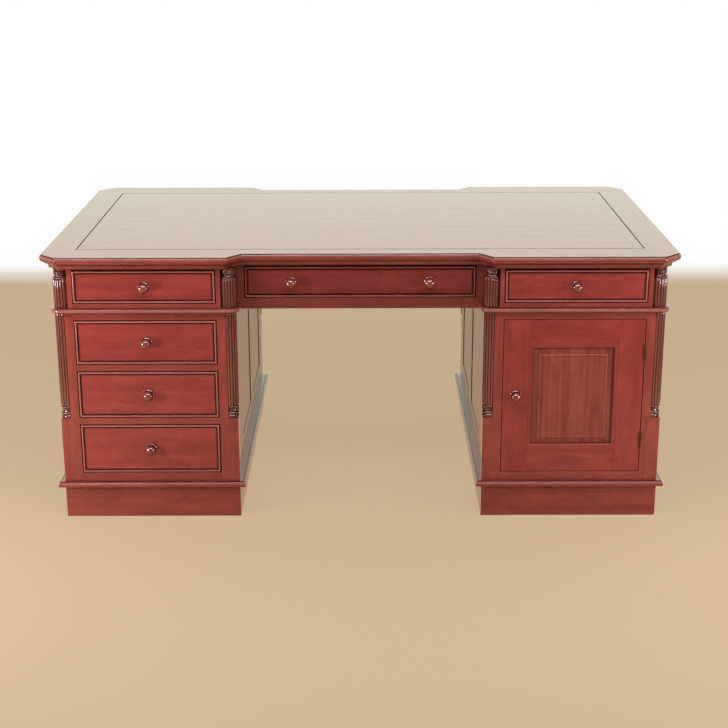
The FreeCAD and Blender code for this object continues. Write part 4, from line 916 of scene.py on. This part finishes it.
tone = add(tree, "ShaderNodeMix", {
    0: fade.outputs[0], 6: linear("#dcc19d"), 7: (1, 1, 1, 1)}, data_type="RGBA")
plain = add(tree, "ShaderNodeEmission", {"Color": tone.outputs[2], "Strength": 1.0})
mixed = add(tree, "ShaderNodeMixShader", {0: share.outputs[0], 1: shader.outputs[0], 2: plain.outputs[0]})
tree.links.new(mixed.outputs[0], tree.nodes["Material Output"].inputs["Surface"])
floor_mesh.materials.append(pale)

world = bpy.data.worlds.new("white_surround")
bpy.context.scene.world = world
world.use_nodes = True
tree = world.node_tree
path = add(tree, "ShaderNodeLightPath")
way = add(tree, "ShaderNodeSeparateXYZ", {0: add(tree, "ShaderNodeTexCoord").outputs["Generated"]})
behind = add(tree, "ShaderNodeMapRange", {
    "Value": way.outputs["Y"], "From Min": -0.1, "From Max": 0.35}, interpolation_type="SMOOTHSTEP")
below = add(tree, "ShaderNodeMapRange", {
    "Value": way.outputs["Z"], "From Min": 0.45, "From Max": 0.8, "To Min": 1.0, "To Max": 0.0},
    interpolation_type="SMOOTHSTEP")
bright = add(tree, "ShaderNodeMath", {0: behind.outputs[0], 1: below.outputs[0]}, operation="MULTIPLY")
glow = add(tree, "ShaderNodeMapRange", {"Value": bright.outputs[0], "To Min": 0.1, "To Max": 1.27})
fill = add(tree, "ShaderNodeMapRange", {"Value": behind.outputs[0], "To Min": 0.03, "To Max": 0.5})
mirrored = add(tree, "ShaderNodeBackground", {"Color": linear("#fffee9"), "Strength": glow.outputs[0]})
shown = add(tree, "ShaderNodeBackground", {"Color": (1, 1, 1, 1), "Strength": 1.0})
even = add(tree, "ShaderNodeBackground", {"Color": (1, 1, 1, 1), "Strength": fill.outputs[0]})
glossy = add(tree, "ShaderNodeMath", {
    0: path.outputs["Is Glossy Ray"], 1: path.outputs["Is Transmission Ray"]}, operation="MAXIMUM")
lit = add(tree, "ShaderNodeMixShader", {0: glossy.outputs[0], 1: even.outputs[0], 2: mirrored.outputs[0]})
seen = add(tree, "ShaderNodeMixShader", {
    0: path.outputs["Is Camera Ray"], 1: lit.outputs[0], 2: shown.outputs[0]})
tree.links.new(seen.outputs[0], tree.nodes["World Output"].inputs["Surface"])

# Place and target in metres, power in watts, and width and height in metres.
LAMPS = {
    "lamp_left": ((-1.66, -1.24, 0.6), (-0.45, -0.5, 0.25), 11.8, 0.3, 0.3),
    "lamp_right": ((1.66, -1.24, 0.6), (0.45, -0.5, 0.25), 7.8, 0.3, 0.3),
    "lamp_above": ((0, -1.68, 2.2), (0, -0.45, 0.5), 32, 3.0, 0.4),
    "lamp_front": ((0, -3.6, 0.6), (0, -0.5, 0.45), 4, 4.0, 0.34),
}


def stood(across, upright, back, spot):
    """The matrix that stands a lamp or a camera at a spot, from its three axes."""
    return Matrix(np.column_stack([across, upright, back, spot]).tolist() + [[0, 0, 0, 1]])


for name, (spot, target, power, wide, tall) in LAMPS.items():
    lamp = bpy.data.lights.new(name, "AREA")
    lamp.energy = power
    lamp.shape = "RECTANGLE"
    lamp.size, lamp.size_y = wide, tall
    hung = bpy.data.objects.new(name, lamp)
    bpy.context.scene.collection.objects.link(hung)
    hung.visible_camera = False
    aim = np.array(target) - spot
    aim /= np.linalg.norm(aim)
    across = np.cross(aim, [0, 0, 1])
    across /= np.linalg.norm(across)
    hung.matrix_world = stood(across, np.cross(across, aim), -aim, spot)

EYE = np.array([14.254, -4509.376, 1727.603]) / 1000
YAW, PITCH, ROLL, FOCAL_PX = -0.00096, 0.30419, -0.00266, 1462.64
PHOTO_PX, SENSOR = 728, 36
level = np.array([math.cos(YAW), -math.sin(YAW), 0])
ahead = np.array([math.sin(YAW), math.cos(YAW), 0])
down = np.array([0, 0, -1.0])
look = ahead * math.cos(PITCH) + down * math.sin(PITCH)
above = ahead * math.sin(PITCH) - down * math.cos(PITCH)
right = level * math.cos(ROLL) + above * math.sin(ROLL)
upper = above * math.cos(ROLL) - level * math.sin(ROLL)
lens = bpy.data.cameras.new("camera")
lens.sensor_width = SENSOR
lens.lens = FOCAL_PX / PHOTO_PX * SENSOR
camera = bpy.data.objects.new("camera", lens)
bpy.context.scene.collection.objects.link(camera)
camera.matrix_world = stood(right, upper, -look, EYE)
bpy.context.scene.camera = camera
bpy.context.scene.view_settings.view_transform = "Standard"
